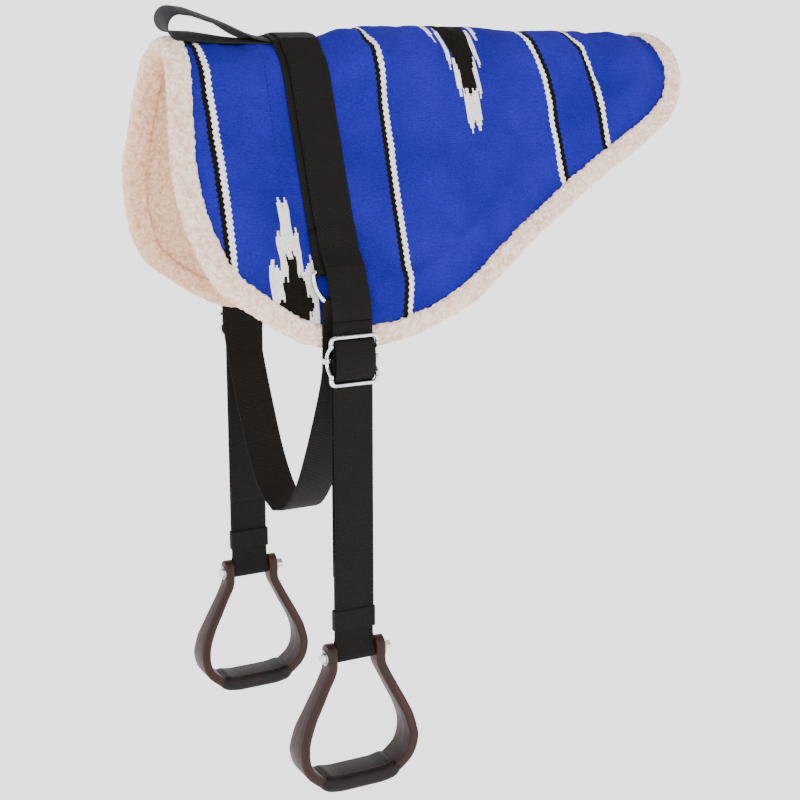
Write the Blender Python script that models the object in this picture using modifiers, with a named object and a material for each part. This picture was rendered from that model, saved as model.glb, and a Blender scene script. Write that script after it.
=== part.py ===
"""A bareback pad: a padded blanket that lies over a horse's back, with a surcingle, a girth, a grab
handle and a pair of stirrups on adjustable webbing straps.

x runs from the withers back along the spine, z is up, and the near (left) side is at -y. The origin is
on the pad's underside, on the spine, under the middle of the stirrup strap.
"""

import bmesh
import bpy
from math import cos, pi, radians, sin
from mathutils import Matrix, Vector
from mathutils.geometry import intersect_point_line

# Clearances
GAP = 0.0003
BINDING_FACE_GAP = 0.0008
BINDING_EDGE_GAP = 0.001

# The back that the pad is bent over, on the pad's outer face
SPINE_RADIUS = 0.062
FLANK_LENGTH = 0.2452
BARREL_RADIUS = 0.170
FLANK_TURN = radians(69.5)

# The pad, cut flat
PAD_FRONT = 0.184
PAD_REAR = 0.540
HEM = 0.0238
FLEECE_THICKNESS = 0.008
FELT_THICKNESS = 0.0034
BLANKET_THICKNESS = 0.0035
CROWN_HEIGHT = 0.014
CROWN_RISE = 0.045
STRAP_DIP = 0.050

# The fleece binding
BINDING_REACH = 0.026
BINDING_WALL = 0.0038
BINDING_ROLL = 0.008
BINDING_LIP = 0.0018
BINDING_STATION = 0.030
BINDING_BEND_STATION = 0.015
BINDING_FREE = 0.004
BINDING_TURN = radians(7)

# Webbing
WEB_WIDTH = 0.0508
WEB_THICKNESS = 0.002
WEB_BUNCH = radians(42)

# The surcingle and the stirrup strap over the back
SURCINGLE_SET = -0.0085
FOLD_TAIL = 0.050
FOLD_RAMP = 0.022
BUMP_EASE = 0.0012
ARCH_EASE = 0.0003

# The D rings
RING_WIRE = 0.0029
RING_CLEAR = 0.055
RING_DEPTH = 0.042
RING_CORNER = 0.0045
RING_OVER_BEND = 0.0084
RING_OUT = 0.0065

# The grab handle
HANDLE_REACH = 0.170
HANDLE_FOLD = 0.0142
HANDLE_LIFT = 0.0115
HANDLE_TAIL = 0.014
HANDLE_ROLL = radians(11)
HANDLE_FREE = 0.060

# The girth
GIRTH_SLOT = 0.0014
GIRTH_TOP_SLOT = 0.0007
GIRTH_TAIL = 0.018
GIRTH_DROP = 0.237
GIRTH_SPREAD = 0.037
GIRTH_FLAT = 0.060
GIRTH_LIP_CLEAR = 0.002

# The hanging straps
HINGE_UNDER_BEND = 0.0455
STRAP_OVER_HEM = 0.0181
STRAP_CLEARS_LOOP = 0.0012
STRAP_END_OVER_BOLT = 0.034
TURN_OVER_BOLT = 0.123
RETURN_OVER_BOLT = 0.101
RETURN_TAIL = 0.029

# The slides
SLIDE_WIRE = 0.00275
SLIDE_CLEAR = 0.054
SLIDE_HEIGHT = 0.062
SLIDE_UNDER_HINGE = 0.015
SLIDE_CORNER = 0.0055
SLIDE_CRANK = 0.017
BAR_RADIUS = 0.0024
BAR_HEAD_RADIUS = 0.0034
BAR_HEAD = 0.0016
BOSS_RADIUS = 0.0042

# The keepers
KEEPER_HEIGHT = 0.025
KEEPER_OVER_BOLT = 0.033
KEEPER_SIDE_GAP = 0.0008
KEEPER_CORNER = 0.003

# The stirrups
BOLT_UNDER_HINGE = 0.414
STIRRUP_HALF = 0.080
STIRRUP_DROP = 0.168
STIRRUP_WOOD = 0.012
STIRRUP_DEPTH = 0.042
STIRRUP_EDGE = 0.003
EAR_RISE = 0.017
EAR_TURNS = (radians(78), radians(58), radians(32), 0.0)
LEATHER = 0.004
LEATHER_SIDE = 0.003
LEATHER_HALF = 0.058

# The neck bolts
BOLT_RADIUS = 0.004
BOLT_HEAD_RADIUS = 0.0075
BOLT_HEAD = 0.005
SLEEVE_RADIUS = 0.0064
WASHER_RADIUS = 0.0095
WASHER = 0.0015
NUT_RADIUS = 0.0075
NUT_HEIGHT = 0.0075
BOLT_SIDES = 20

# Outline of the pad, front to rear: shares of PAD_FRONT or PAD_REAR, and of PAD_SIDE
PAD_OUTLINE_SHARES = (
    (-0.913, 0.0), (-0.967, 0.272), (-1.0, 0.494), (-0.935, 0.667), (-0.815, 0.790),
    (-0.571, 0.892), (-0.272, 0.972), (0.028, 1.0), (0.167, 0.977), (0.322, 0.894),
    (0.506, 0.719), (0.700, 0.551), (0.833, 0.452), (0.939, 0.360), (0.987, 0.277),
    (1.0, 0.175), (0.978, 0.0),
)
# Crown of the padding along the spine: shares of PAD_REAR behind the strap, and of CROWN_HEIGHT
REAR_CROWN_SHARES = (
    (0.0, 0.85), (0.17, 1.0), (0.33, 0.97), (0.43, 0.72), (0.60, 0.34), (0.75, 0.30), (0.92, 0.55),
    (1.0, 0.45),
)
FRONT_CROWN_SHARE = 0.55
SIDE_CROWN_SHARE = 0.6
# The side of a stirrup under its bolt: shares of STIRRUP_HALF and STIRRUP_DROP
STIRRUP_SIDE_SHARES = (
    (0.481, 0.0), (0.481, 0.055), (0.498, 0.105), (0.580, 0.187), (0.710, 0.310), (0.835, 0.426), (0.945, 0.548),
    (1.0, 0.675), (0.985, 0.765), (0.925, 0.842), (0.815, 0.905), (0.613, 0.972), (0.33, 1.0),
    (0.0, 1.0),
)
# Its depth from front to back: shares of STIRRUP_DROP, and of STIRRUP_DEPTH
STIRRUP_DEPTH_SHARES = (
    (0.0, 0.57), (0.19, 0.52), (0.38, 0.61), (0.57, 0.80), (0.72, 0.97), (1.0, 1.0),
)
# The girth's half under the pad: shares of its half width, and of GIRTH_DROP
GIRTH_SHARES = ((0.985, 0.115), (0.86, 0.315), (0.675, 0.56), (0.48, 0.78), (0.25, 0.94), (0.0, 1.0))

# The lower and upper strands of the grab handle: shares of its reach, and of its rise
HANDLE_LOWER_SHARES = ((-0.38, 0.02), (-0.55, 0.26), (-0.71, 0.60), (-0.85, 0.90))
HANDLE_UPPER_SHARES = (
    (-0.90, 0.95), (-0.72, 0.70), (-0.59, 0.50), (-0.46, 0.24), (-0.37, 0.10), (-0.30, 0.03), (-0.24, 0.0),
)
# The rounded end of a hanging strap: shares of half its thickness
ROUND_END_SHARES = ((0.98, 0.2), (0.714, 0.7))

# Counts
SPINE_ROWS = 6
FLANK_ROWS = 5
BARREL_ROWS = 3
FRONT_COLUMNS = 3
REAR_COLUMNS = 8
OUTLINE_STEPS = 9
COLUMN_MARGINS = 8
FOLD_STEPS = 7
RING_STEPS = 12
HANDLE_COLUMNS = 6
GIRTH_COLUMNS = 4

# Derived places
SPINE_ARC = SPINE_RADIUS * FLANK_TURN
FLANK_END = SPINE_ARC + FLANK_LENGTH
BARREL_ARC = BARREL_RADIUS * (pi / 2 - FLANK_TURN)
BARREL_END = FLANK_END + BARREL_ARC
PAD_SIDE = BARREL_END + HEM
LAYER_INSET = BINDING_WALL + BINDING_EDGE_GAP
FELT_UNDER = -BLANKET_THICKNESS - FELT_THICKNESS - 2 * GAP
FLEECE_UNDER = FELT_UNDER - FLEECE_THICKNESS
PAD_TOP = -FLEECE_UNDER
WEB_STEP = WEB_THICKNESS + GAP
WEB_FIRST = GAP + WEB_THICKNESS / 2
RING_HALF = RING_CLEAR / 2 + RING_WIRE
RING_SOLE = SURCINGLE_SET - RING_HALF - RING_WIRE
DIP_FRONT = RING_SOLE - BUMP_EASE
DIP_REAR = WEB_WIDTH / 2 + BUMP_EASE
BEND_OUT = SPINE_RADIUS * sin(FLANK_TURN) + FLANK_LENGTH * cos(FLANK_TURN)
BEND_DOWN = SPINE_RADIUS * (1 - cos(FLANK_TURN)) + FLANK_LENGTH * sin(FLANK_TURN) - PAD_TOP
STRAP_OUT = BEND_OUT + BARREL_RADIUS * (1 - sin(FLANK_TURN)) + STRAP_OVER_HEM
STRAP_HINGE_DOWN = BEND_DOWN + HINGE_UNDER_BEND
BOLT_DOWN = STRAP_HINGE_DOWN + BOLT_UNDER_HINGE
RING_DOWN = FLANK_END - RING_OVER_BEND
RING_CENTRE = RING_DOWN + RING_DEPTH - RING_HALF
HINGE = (STRAP_OUT, -STRAP_HINGE_DOWN)
TURN_FRONT = STRAP_OUT - WEB_STEP
TURN_BACK = TURN_FRONT - WEB_STEP
RETURN_OUT = TURN_BACK - WEB_STEP
BOLT_OUT = (TURN_FRONT + TURN_BACK) / 2
BAR_WRAP = BAR_RADIUS + GAP + WEB_THICKNESS / 2
BAR_OUT = STRAP_OUT - WEB_THICKNESS / 2 - GAP - WEB_THICKNESS / 2 - BAR_WRAP
BAR_DOWN = STRAP_HINGE_DOWN + SLIDE_UNDER_HINGE + SLIDE_HEIGHT / 2
SLIDE_OUT = STRAP_OUT + WEB_THICKNESS / 2 + GAP + SLIDE_WIRE
SLIDE_HALF = SLIDE_CLEAR / 2 + SLIDE_WIRE
EAR_HALF = STIRRUP_HALF * STIRRUP_SIDE_SHARES[0][0]


def collection(name, hidden=False):
    made = bpy.data.collections.new(name)
    bpy.context.scene.collection.children.link(made)
    made.hide_render = hidden
    return made


def finish(name, colour, roughness, metallic=0.0):
    material = bpy.data.materials.new(name)
    material.use_nodes = True
    shader = material.node_tree.nodes["Principled BSDF"]
    shader.inputs["Base Color"].default_value = (*colour, 1.0)
    shader.inputs["Roughness"].default_value = roughness
    shader.inputs["Metallic"].default_value = metallic
    return material


def smooth(share):
    share = min(max(share, 0.0), 1.0)
    return share * share * (3 - 2 * share)


def between(table, place):
    """The value at a place, read smoothly from a table of (place, value)."""
    for (a, low), (b, high) in zip(table, table[1:]):
        if place <= b:
            return low + (high - low) * smooth((place - a) / (b - a))
    return table[-1][1]


def curve_through(points, steps, closed=False):
    """A smooth curve through the points, with this many steps from each to the next."""
    points = [Vector(p) for p in points]
    count = len(points)
    if not closed:
        points = [2 * points[0] - points[1], *points, 2 * points[-1] - points[-2]]
        spans = [points[i : i + 4] for i in range(count - 1)]
    else:
        spans = [[points[(i + k - 1) % count] for k in range(4)] for i in range(count)]
    curve = []
    for a, b, c, d in spans:
        for step in range(steps):
            t = step / steps
            curve.append(
                (2 * b + (c - a) * t + (2 * a - 5 * b + 4 * c - d) * t**2 + (3 * b - a - 3 * c + d) * t**3) / 2
            )
    return curve if closed else [*curve, points[-2]]


def arc(centre, radius, start, end, steps):
    """Points round a centre, from one angle to another."""
    return [
        (centre[0] + radius * cos(start + (end - start) * i / steps),
         centre[1] + radius * sin(start + (end - start) * i / steps))
        for i in range(steps + 1)
    ]


# The shape of the back

def flank(down, out):
    """(y, z) of a place on the flank's plane, on the off side."""
    along = down - SPINE_ARC
    y = SPINE_RADIUS * sin(FLANK_TURN) + along * cos(FLANK_TURN) + out * sin(FLANK_TURN)
    z = PAD_TOP - SPINE_RADIUS * (1 - cos(FLANK_TURN)) - along * sin(FLANK_TURN) + out * cos(FLANK_TURN)
    return y, z


def barrel(down, out):
    """(y, z) of a place on the lower bend or on the upright hem below it, on the off side."""
    turn = min((down - FLANK_END) / BARREL_RADIUS, pi / 2 - FLANK_TURN)
    y, z = flank(FLANK_END, -BARREL_RADIUS)
    y += (BARREL_RADIUS + out) * sin(FLANK_TURN + turn)
    z += (BARREL_RADIUS + out) * cos(FLANK_TURN + turn) - max(down - BARREL_END, 0.0)
    return y, z


def over_the_back(x, across, out):
    """A place on the flat pad, bent over the back. across is the way down the off side, or down the near
    side where it is negative, and out is the height over the outer face of the pressed pad."""
    down = abs(across)
    if down <= SPINE_ARC:
        turn = down / SPINE_RADIUS
        y = (SPINE_RADIUS + out) * sin(turn)
        z = PAD_TOP - SPINE_RADIUS + (SPINE_RADIUS + out) * cos(turn)
    elif down <= FLANK_END:
        y, z = flank(down, out)
    else:
        y, z = barrel(down, out)
    return Vector((x, -y if across < 0 else y, z))


# Mesh builders

def add_mesh(name, bm, material):
    bmesh.ops.recalc_face_normals(bm, faces=bm.faces[:])
    if bm.calc_volume(signed=True) < 0:
        bmesh.ops.reverse_faces(bm, faces=bm.faces[:])
    mesh = bpy.data.meshes.new(name)
    bm.to_mesh(mesh)
    bm.free()
    mesh.materials.append(material)
    mesh.shade_smooth()
    mesh.set_sharp_from_angle(angle=radians(30))
    piece = bpy.data.objects.new(name, mesh)
    PAD.objects.link(piece)
    return piece


def sheet(name, across, along, place, material):
    """A flat grid with two faces, cut first and then bent by place(column, row, face)."""
    bm = bmesh.new()
    bmesh.ops.create_grid(bm, x_segments=across, y_segments=along, size=1)
    raised = bmesh.ops.extrude_face_region(bm, geom=bm.faces[:])["geom"]
    for vert in raised:
        if isinstance(vert, bmesh.types.BMVert):
            vert.co.z = 1
    for vert in bm.verts:
        column = round((vert.co.x + 1) / 2 * across)
        row = round((vert.co.y + 1) / 2 * along)
        vert.co = place(column, row, vert.co.z > 0)
    return add_mesh(name, bm, material)


def loft(name, rings, material, closed=False):
    """Sections joined one to the next. An open loft is capped, and a closed one joins up with itself."""
    bm = bmesh.new()
    loops = [[bm.verts.new(point) for point in ring] for ring in rings]
    count = len(loops[0])
    pairs = list(zip(loops, loops[1:]))
    if closed:
        pairs.append((loops[-1], loops[0]))
    else:
        bm.faces.new(loops[0])
        bm.faces.new(loops[-1])
    for first, second in pairs:
        for i in range(count):
            k = (i + 1) % count
            bm.faces.new((first[i], first[k], second[k], second[i]))
    return add_mesh(name, bm, material)


def mitres(path):
    """The way out at each point of a flat path, long enough to keep a strip's thickness at a bend."""
    steps = [(Vector(b) - Vector(a)).normalized() for a, b in zip(path, path[1:])]
    ways = []
    for into, onward in zip([steps[0], *steps], [*steps, steps[-1]]):
        mean = (into + onward).normalized()
        ways.append(Vector((-mean.y, mean.x)) / max(mean.dot(onward), 0.5))
    return ways


def webbing(name, path, side, material, x=0.0, shares=None):
    """A strip of webbing along the (y, z) path of its middle, on the given side. shares thins its rows."""
    ways = mitres(path)
    shares = shares or [1.0] * len(path)

    def place(column, row, face):
        out = ways[row] * (WEB_THICKNESS / 2 if face else -WEB_THICKNESS / 2) * shares[row]
        y, z = Vector(path[row]) + out
        return Vector((x + WEB_WIDTH * (column - 0.5), side * y, z))

    return sheet(name, 1, len(path) - 1, place, material)


def wire(name, points, radius, material):
    """A closed ring of round wire through the points."""
    curve = bpy.data.curves.new(name, "CURVE")
    curve.dimensions = "3D"
    curve.bevel_depth = radius
    curve.bevel_resolution = 2
    spline = curve.splines.new("POLY")
    spline.points.add(len(points) - 1)
    for point, place in zip(spline.points, points):
        point.co = (*place, 1)
    spline.use_cyclic_u = True
    curve.materials.append(material)
    piece = bpy.data.objects.new(name, curve)
    PAD.objects.link(piece)
    return piece


def as_mesh(piece):
    """The same piece as a mesh, so that it can be cut."""
    bpy.context.view_layer.update()
    mesh = bpy.data.meshes.new_from_object(piece.evaluated_get(bpy.context.evaluated_depsgraph_get()))
    made = bpy.data.objects.new(piece.name + "_mesh", mesh)
    made.matrix_world = piece.matrix_world.copy()
    name = piece.name
    bpy.data.objects.remove(piece)
    made.name = name
    PAD.objects.link(made)
    return made


def turned(name, profile, material, centre, ring=False, sides=BOLT_SIDES):
    """A profile of (radius, height) turned about a line along x. A ring's profile is closed."""
    bm = bmesh.new()
    verts = [bm.verts.new((radius, 0, height)) for radius, height in profile]
    ends = verts[1:] + verts[:1] if ring else verts[1:]
    for first, second in zip(verts, ends):
        bm.edges.new((first, second))
    mesh = bpy.data.meshes.new(name)
    bm.to_mesh(mesh)
    bm.free()
    mesh.materials.append(material)
    piece = bpy.data.objects.new(name, mesh)
    PAD.objects.link(piece)
    piece.rotation_euler = (0, pi / 2, 0)
    piece.location = centre
    screw = piece.modifiers.new("Turn", "SCREW")
    screw.steps = sides
    screw.render_steps = sides
    screw.use_merge_vertices = True
    screw.merge_threshold = GAP / 30
    return piece


def bushing(name, outer, inner, low, high, material, centre, sides=BOLT_SIDES):
    """A washer, sleeve or nut: a turned ring from low to high along x."""
    profile = [(outer, high), (outer, low), (inner, low), (inner, high)]
    return turned(name, profile, material, centre, ring=True, sides=sides)


def cutter(name, bm, centre, rotation=(0, 0, 0)):
    mesh = bpy.data.meshes.new(name)
    bm.to_mesh(mesh)
    bm.free()
    piece = bpy.data.objects.new(name, mesh)
    CUTTERS.objects.link(piece)
    piece.location = centre
    piece.rotation_euler = rotation
    piece.display_type = "WIRE"
    piece.hide_render = True
    return piece


def drill(name, radius, length, centre):
    """A round cutter along x."""
    bm = bmesh.new()
    bmesh.ops.create_cone(
        bm, cap_ends=True, segments=BOLT_SIDES, radius1=radius, radius2=radius, depth=length
    )
    return cutter(name, bm, centre, rotation=(0, pi / 2, 0))


def combine(piece, other, operation):
    boolean = piece.modifiers.new(other.name, "BOOLEAN")
    boolean.operation = operation
    boolean.object = other


def pivot(name, place, parent=None):
    """An empty on a joint's axis, which carries what the joint moves."""
    empty = bpy.data.objects.new(name, None)
    PAD.objects.link(empty)
    empty.empty_display_size = WEB_WIDTH / 2
    empty["place"] = place
    empty.location = place
    if parent:
        empty.parent = parent
        empty.location = Vector(place) - Vector(parent["place"])
    return empty


def ride(piece, carrier):
    piece.parent = carrier
    piece.matrix_parent_inverse = Matrix.Translation(-Vector(carrier["place"]))


# The pad's outline and padding

def pad_outline():
    """The binding's outer edge on the flat pad, from the front of the spine down the off side and back up
    the near side. Points are (x, across)."""
    off = []
    for x_share, side_share in PAD_OUTLINE_SHARES:
        off.append((x_share * (PAD_FRONT if x_share < 0 else PAD_REAR), side_share * PAD_SIDE))
    near = [(x, -across) for x, across in reversed(off[1:-1])]
    return curve_through(off + near, OUTLINE_STEPS, closed=True)


def inward(outline):
    """The way into the pad at each point of the outline."""
    ways = []
    for i, point in enumerate(outline):
        along = outline[(i + 1) % len(outline)] - outline[i - 1]
        ways.append(Vector((along.y, -along.x)).normalized())
    return ways


def inset(distance):
    return [point + way * distance for point, way in zip(OUTLINE, INWARD)]


def ends_at(line, across):
    """The first and last x where a closed line crosses this place across the pad, or None."""
    found = []
    for a, b in zip(line, line[1:] + line[:1]):
        if min(a.y, b.y) <= across < max(a.y, b.y):
            found.append(a.x + (b.x - a.x) * (across - a.y) / (b.y - a.y))
    return (min(found), max(found)) if found else None


def from_edge(x, across):
    """How far a place on the flat pad lies from the outline."""
    place = Vector((x, across))
    nearest = PAD_REAR
    for a, b in zip(OUTLINE, OUTLINE[1:] + OUTLINE[:1]):
        foot, share = intersect_point_line(place, a, b)
        foot = a if share < 0 else b if share > 1 else foot.xy
        nearest = min(nearest, (place - foot).length)
    return nearest


def crown(x, across):
    """How far the padding rises over the height that the straps and the binding press it to."""
    down = abs(across)
    rise = smooth((from_edge(x, across) - BINDING_REACH - BINDING_FREE) / CROWN_RISE)
    if x < 0:
        rise *= smooth((DIP_FRONT - x) / STRAP_DIP) * FRONT_CROWN_SHARE
        rise *= smooth((down - DIP_REAR) / STRAP_DIP)
    else:
        rise *= smooth((x - DIP_REAR) / STRAP_DIP)
        spine = between(REAR_CROWN_SHARES, x / PAD_REAR)
        rise *= spine + (SIDE_CROWN_SHARE - spine) * smooth(down / SPINE_ARC / 2)
    return CROWN_HEIGHT * rise


def row_places():
    """How far down the pad each row of the layers lies, from the hem of the near side to the off hem."""
    down = [SPINE_ARC * i / SPINE_ROWS for i in range(SPINE_ROWS)]
    down += [SPINE_ARC + FLANK_LENGTH * i / FLANK_ROWS for i in range(FLANK_ROWS)]
    down += [FLANK_END + BARREL_ARC * i / BARREL_ROWS for i in range(BARREL_ROWS + 1)]
    down += [PAD_SIDE - LAYER_INSET - GAP]
    return [-place for place in reversed(down[1:])] + down


def row_columns(across):
    """The x of each column in one row of the crowned layers."""
    front, rear = ends_at(LAYER_EDGE, across)
    length = rear - front
    free = ends_at(FREE_EDGE, across) or (front + length / 3, rear - length / 3)
    margin = length / COLUMN_MARGINS
    dip_front = max(DIP_FRONT, free[0] + margin)
    dip_rear = max(min(DIP_REAR, free[1] - margin), dip_front + margin / 2)
    columns = [front, free[0]]
    for i in range(1, FRONT_COLUMNS + 1):
        columns.append(free[0] + (dip_front - free[0]) * i / (FRONT_COLUMNS + 1))
    columns += [dip_front, dip_rear]
    for i in range(1, REAR_COLUMNS + 1):
        columns.append(dip_rear + (free[1] - dip_rear) * i / (REAR_COLUMNS + 1))
    return [*columns, free[1], rear]


def crowned_layer(name, over, under, material):
    """A layer whose two faces both follow the padding's crown, or only its outer face where under is
    pressed flat against the layer below."""
    grid = [[(x, crown(x, across)) for x in row_columns(across)] for across in ROWS]

    def place(column, row, face):
        x, rise = grid[row][column]
        out = over + rise if face else under(rise)
        return over_the_back(x, ROWS[row], out)

    return sheet(name, len(grid[0]) - 1, len(ROWS) - 1, place, material)


def blanket_cover():
    under = -BLANKET_THICKNESS
    return crowned_layer("blanket_cover", 0.0, lambda rise: under + rise, WOVEN_BLUE)


def felt_core():
    over = -BLANKET_THICKNESS - GAP
    return crowned_layer("felt_core", over, lambda rise: FELT_UNDER + GAP, FELT)


def fleece_lining():
    """The layer against the horse, which keeps one thickness."""
    ends = [ends_at(LAYER_EDGE, across) for across in ROWS]

    def place(column, row, face):
        out = FELT_UNDER if face else FLEECE_UNDER
        return over_the_back(ends[row][column], ROWS[row], out)

    return sheet("fleece_lining", 1, len(ROWS) - 1, place, FLEECE)


def binding_section():
    """The binding cut across, as (reach in from the edge, out), round from the outer lip and back."""
    face = BINDING_FACE_GAP
    back = FLEECE_UNDER - BINDING_FACE_GAP
    over = face + BINDING_WALL
    under = back - BINDING_WALL
    shoulder = BINDING_ROLL * 0.35
    outside = [
        (BINDING_REACH, face + BINDING_LIP),
        (BINDING_REACH - BINDING_ROLL * 0.75, over),
        (BINDING_ROLL, over),
        (shoulder, over - BINDING_LIP),
        (0.0, over - BINDING_ROLL),
    ]
    middle = FLEECE_UNDER
    outside += [(reach, middle - out) for reach, out in reversed(outside)]
    inside = [(BINDING_REACH, back), (BINDING_WALL, back), (BINDING_WALL, face), (BINDING_REACH, face)]
    return outside + inside


def binding_stations():
    """Places round the outline: on the layers' rows over the spine, and closer at the corners elsewhere."""
    stations = []
    arcs = [across for across in ROWS if abs(across) < SPINE_ARC + GAP]
    for a, b, way_a, way_b in zip(
        OUTLINE, OUTLINE[1:] + OUTLINE[:1], INWARD, INWARD[1:] + INWARD[:1]
    ):
        crossed = [across for across in arcs if min(a.y, b.y) <= across < max(a.y, b.y)]
        crossed.sort(key=lambda across: abs(across - a.y))
        for across in crossed:
            share = (across - a.y) / (b.y - a.y)
            stations.append((a.lerp(b, share), way_a.lerp(way_b, share).normalized()))
        if abs(b.y) > SPINE_ARC + BINDING_STATION / 3:
            last, last_way = stations[-1]
            reach = BINDING_STATION if abs(b.y) < FLANK_END - BINDING_REACH else BINDING_BEND_STATION
            if (b - last).length > reach or way_b.angle(last_way) > BINDING_TURN:
                stations.append((b, way_b))
    return stations


def edge_binding():
    rings = []
    for point, way in binding_stations():
        ring = []
        for reach, out in binding_section():
            place = point + way * reach
            ring.append(over_the_back(place.x, place.y, out))
        rings.append(ring)
    return loft("edge_binding", rings, BINDING, closed=True)


# The straps over the back

def over_spine(bump, flat):
    """The first points of a strap, from the spine to the flank: over the handle's ends, then on the pad."""
    step = SPINE_ARC / SPINE_ROWS
    points = [(0.0, bump), (step, bump), (2 * step, bump), (DIP_REAR, bump)]
    return points + [(step * i, flat) for i in range(3, SPINE_ROWS + 1)]


def both_sides(half):
    """A (y, z) path over the back, from its off half, which starts on the spine."""
    return [(-y, z) for y, z in reversed(half[1:])] + half


def surcingle():
    """The lower strap, whose ends fold round the straight bars of the D rings."""
    bump = WEB_FIRST + 2 * WEB_STEP + ARCH_EASE
    fold = RING_WIRE + GAP + WEB_THICKNESS / 2
    points = over_spine(bump, WEB_FIRST)
    points += [(RING_DOWN - FOLD_TAIL, WEB_FIRST), (RING_DOWN - FOLD_RAMP, WEB_FIRST)]
    points += arc((RING_DOWN, RING_OUT), fold, radians(-90), radians(120), FOLD_STEPS)
    points += [(RING_DOWN - FOLD_RAMP, WEB_FIRST + WEB_STEP), (RING_DOWN - FOLD_TAIL, WEB_FIRST + WEB_STEP)]
    half = [over_the_back(0.0, down, out).yz for down, out in points]
    return webbing("surcingle_webbing", both_sides(half), 1, WEB_BLACK, x=SURCINGLE_SET)


def over_back_strap():
    """The stirrup strap's part on the pad. It runs over the folds and the girth's loops, and leaves the
    flank for the hanging straps."""
    flat = WEB_FIRST + WEB_STEP
    doubled = flat + WEB_STEP
    fold = RING_WIRE + WEB_THICKNESS + WEB_STEP + WEB_THICKNESS / 2
    clear = RING_OUT + RING_WIRE + GIRTH_SLOT + WEB_THICKNESS + STRAP_CLEARS_LOOP + WEB_THICKNESS / 2
    points = over_spine(WEB_FIRST + 3 * WEB_STEP + ARCH_EASE, flat)
    tail = RING_DOWN - FOLD_TAIL
    points += [(tail - 3 * WEB_STEP, flat), (tail - WEB_STEP, doubled), (RING_DOWN - FOLD_RAMP - WEB_STEP, doubled)]
    points += arc((RING_DOWN, RING_OUT), fold, radians(120), radians(90), 2)
    half = [over_the_back(0.0, down, out).yz for down, out in points]
    for down in (RING_CENTRE + RING_HALF * 0.4, RING_CENTRE + RING_HALF + RING_WIRE):
        half.append(Vector(flank(down, clear)))
    hinge = Vector(HINGE)
    onward = (hinge - half[-1]).normalized()
    half.append(hinge - onward * (WEB_THICKNESS / 2 + GAP))
    return webbing("over_back_stirrup_strap", both_sides(half), 1, WEB_BLACK)


def handle_path():
    """(x, out) along the middle of the handle: out from under the surcingle, round its fold and back."""
    first = WEB_FIRST
    second = WEB_FIRST + WEB_STEP
    fold = (HANDLE_FOLD - HANDLE_REACH, HANDLE_LIFT + HANDLE_FOLD)
    top = HANDLE_LIFT + 2 * HANDLE_FOLD
    reach = -fold[0]
    lower = [(share * reach, first + rise * (HANDLE_LIFT - first)) for share, rise in HANDLE_LOWER_SHARES]
    upper = [(share * reach, second + rise * (top - second)) for share, rise in HANDLE_UPPER_SHARES]
    path = [(HANDLE_TAIL, first)] + curve_through(lower, 2)
    path += arc(fold, HANDLE_FOLD, radians(270), radians(90), 8)
    return path + curve_through(upper, 2) + [(HANDLE_TAIL, second)]


def grab_handle():
    """A flat strap arched over the spine, doubled back on itself and rolled towards the near side."""
    path = [Vector(point) for point in handle_path()]
    ways = mitres(path)

    def place(column, row, face):
        wide = WEB_WIDTH * (column / HANDLE_COLUMNS - 0.5)
        x, out = path[row] + ways[row] * (WEB_THICKNESS / 2 if face else -WEB_THICKNESS / 2)
        point = over_the_back(x, wide * SPINE_RADIUS / (SPINE_RADIUS + path[row].y), out)
        middle = Vector((0.0, 0.0, PAD_TOP + path[row].y))
        roll = -HANDLE_ROLL * smooth((-path[row].x - HANDLE_FREE) / HANDLE_FREE)
        return middle + Matrix.Rotation(-roll, 3, "X") @ (point - middle)

    return sheet("grab_handle", HANDLE_COLUMNS, len(path) - 1, place, WEB_GREY)


# The D rings and the girth

def d_ring(name, side):
    """A D of round wire that lies along the flank, its straight bar up in the surcingle's fold."""
    bar = RING_HALF - RING_DEPTH
    corner = (RING_HALF - RING_CORNER, bar + RING_CORNER)
    points = arc(corner, RING_CORNER, radians(-90), 0.0, 3)
    points += arc((0.0, 0.0), RING_HALF, 0.0, pi, RING_STEPS)
    points += arc((-corner[0], corner[1]), RING_CORNER, pi, radians(270), 3)
    path = []
    for x, down in points:
        y, z = flank(RING_CENTRE + down, RING_OUT)
        path.append((SURCINGLE_SET + x, side * y, z))
    return wire(name, path, RING_WIRE, CHROME)


def girth_path():
    """(y, z) along the middle of the girth's off half, from its lowest point to its sewn end."""
    hem = over_the_back(0.0, PAD_SIDE, 0.0)
    lip = over_the_back(0.0, PAD_SIDE - BINDING_REACH, 0.0)
    out = hem.y + BINDING_FACE_GAP + BINDING_WALL + GAP + WEB_THICKNESS / 2
    loop = RING_WIRE + GIRTH_SLOT + WEB_THICKNESS / 2
    top = RING_CENTRE + RING_HALF - RING_WIRE - GIRTH_TOP_SLOT - WEB_THICKNESS / 2 + loop
    under = [(y * out, hem.z - drop * GIRTH_DROP) for y, drop in reversed(GIRTH_SHARES)]
    under.append((out, hem.z))
    over_ring = [Vector(flank(down, o)) for down, o in arc((top, RING_OUT), loop, radians(90), radians(270), 8)]
    path = curve_through(under, 3) + [Vector((out, lip.z + GIRTH_LIP_CLEAR))] + over_ring
    ends = Vector((out, lip.z + GIRTH_LIP_CLEAR))
    into = (ends - over_ring[0]).normalized()
    beside = Vector((into.y, -into.x)) * WEB_STEP
    seam = over_ring[0] + into * GIRTH_TAIL + beside
    return path + [seam, seam + into * GIRTH_TAIL / 3]


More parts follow.
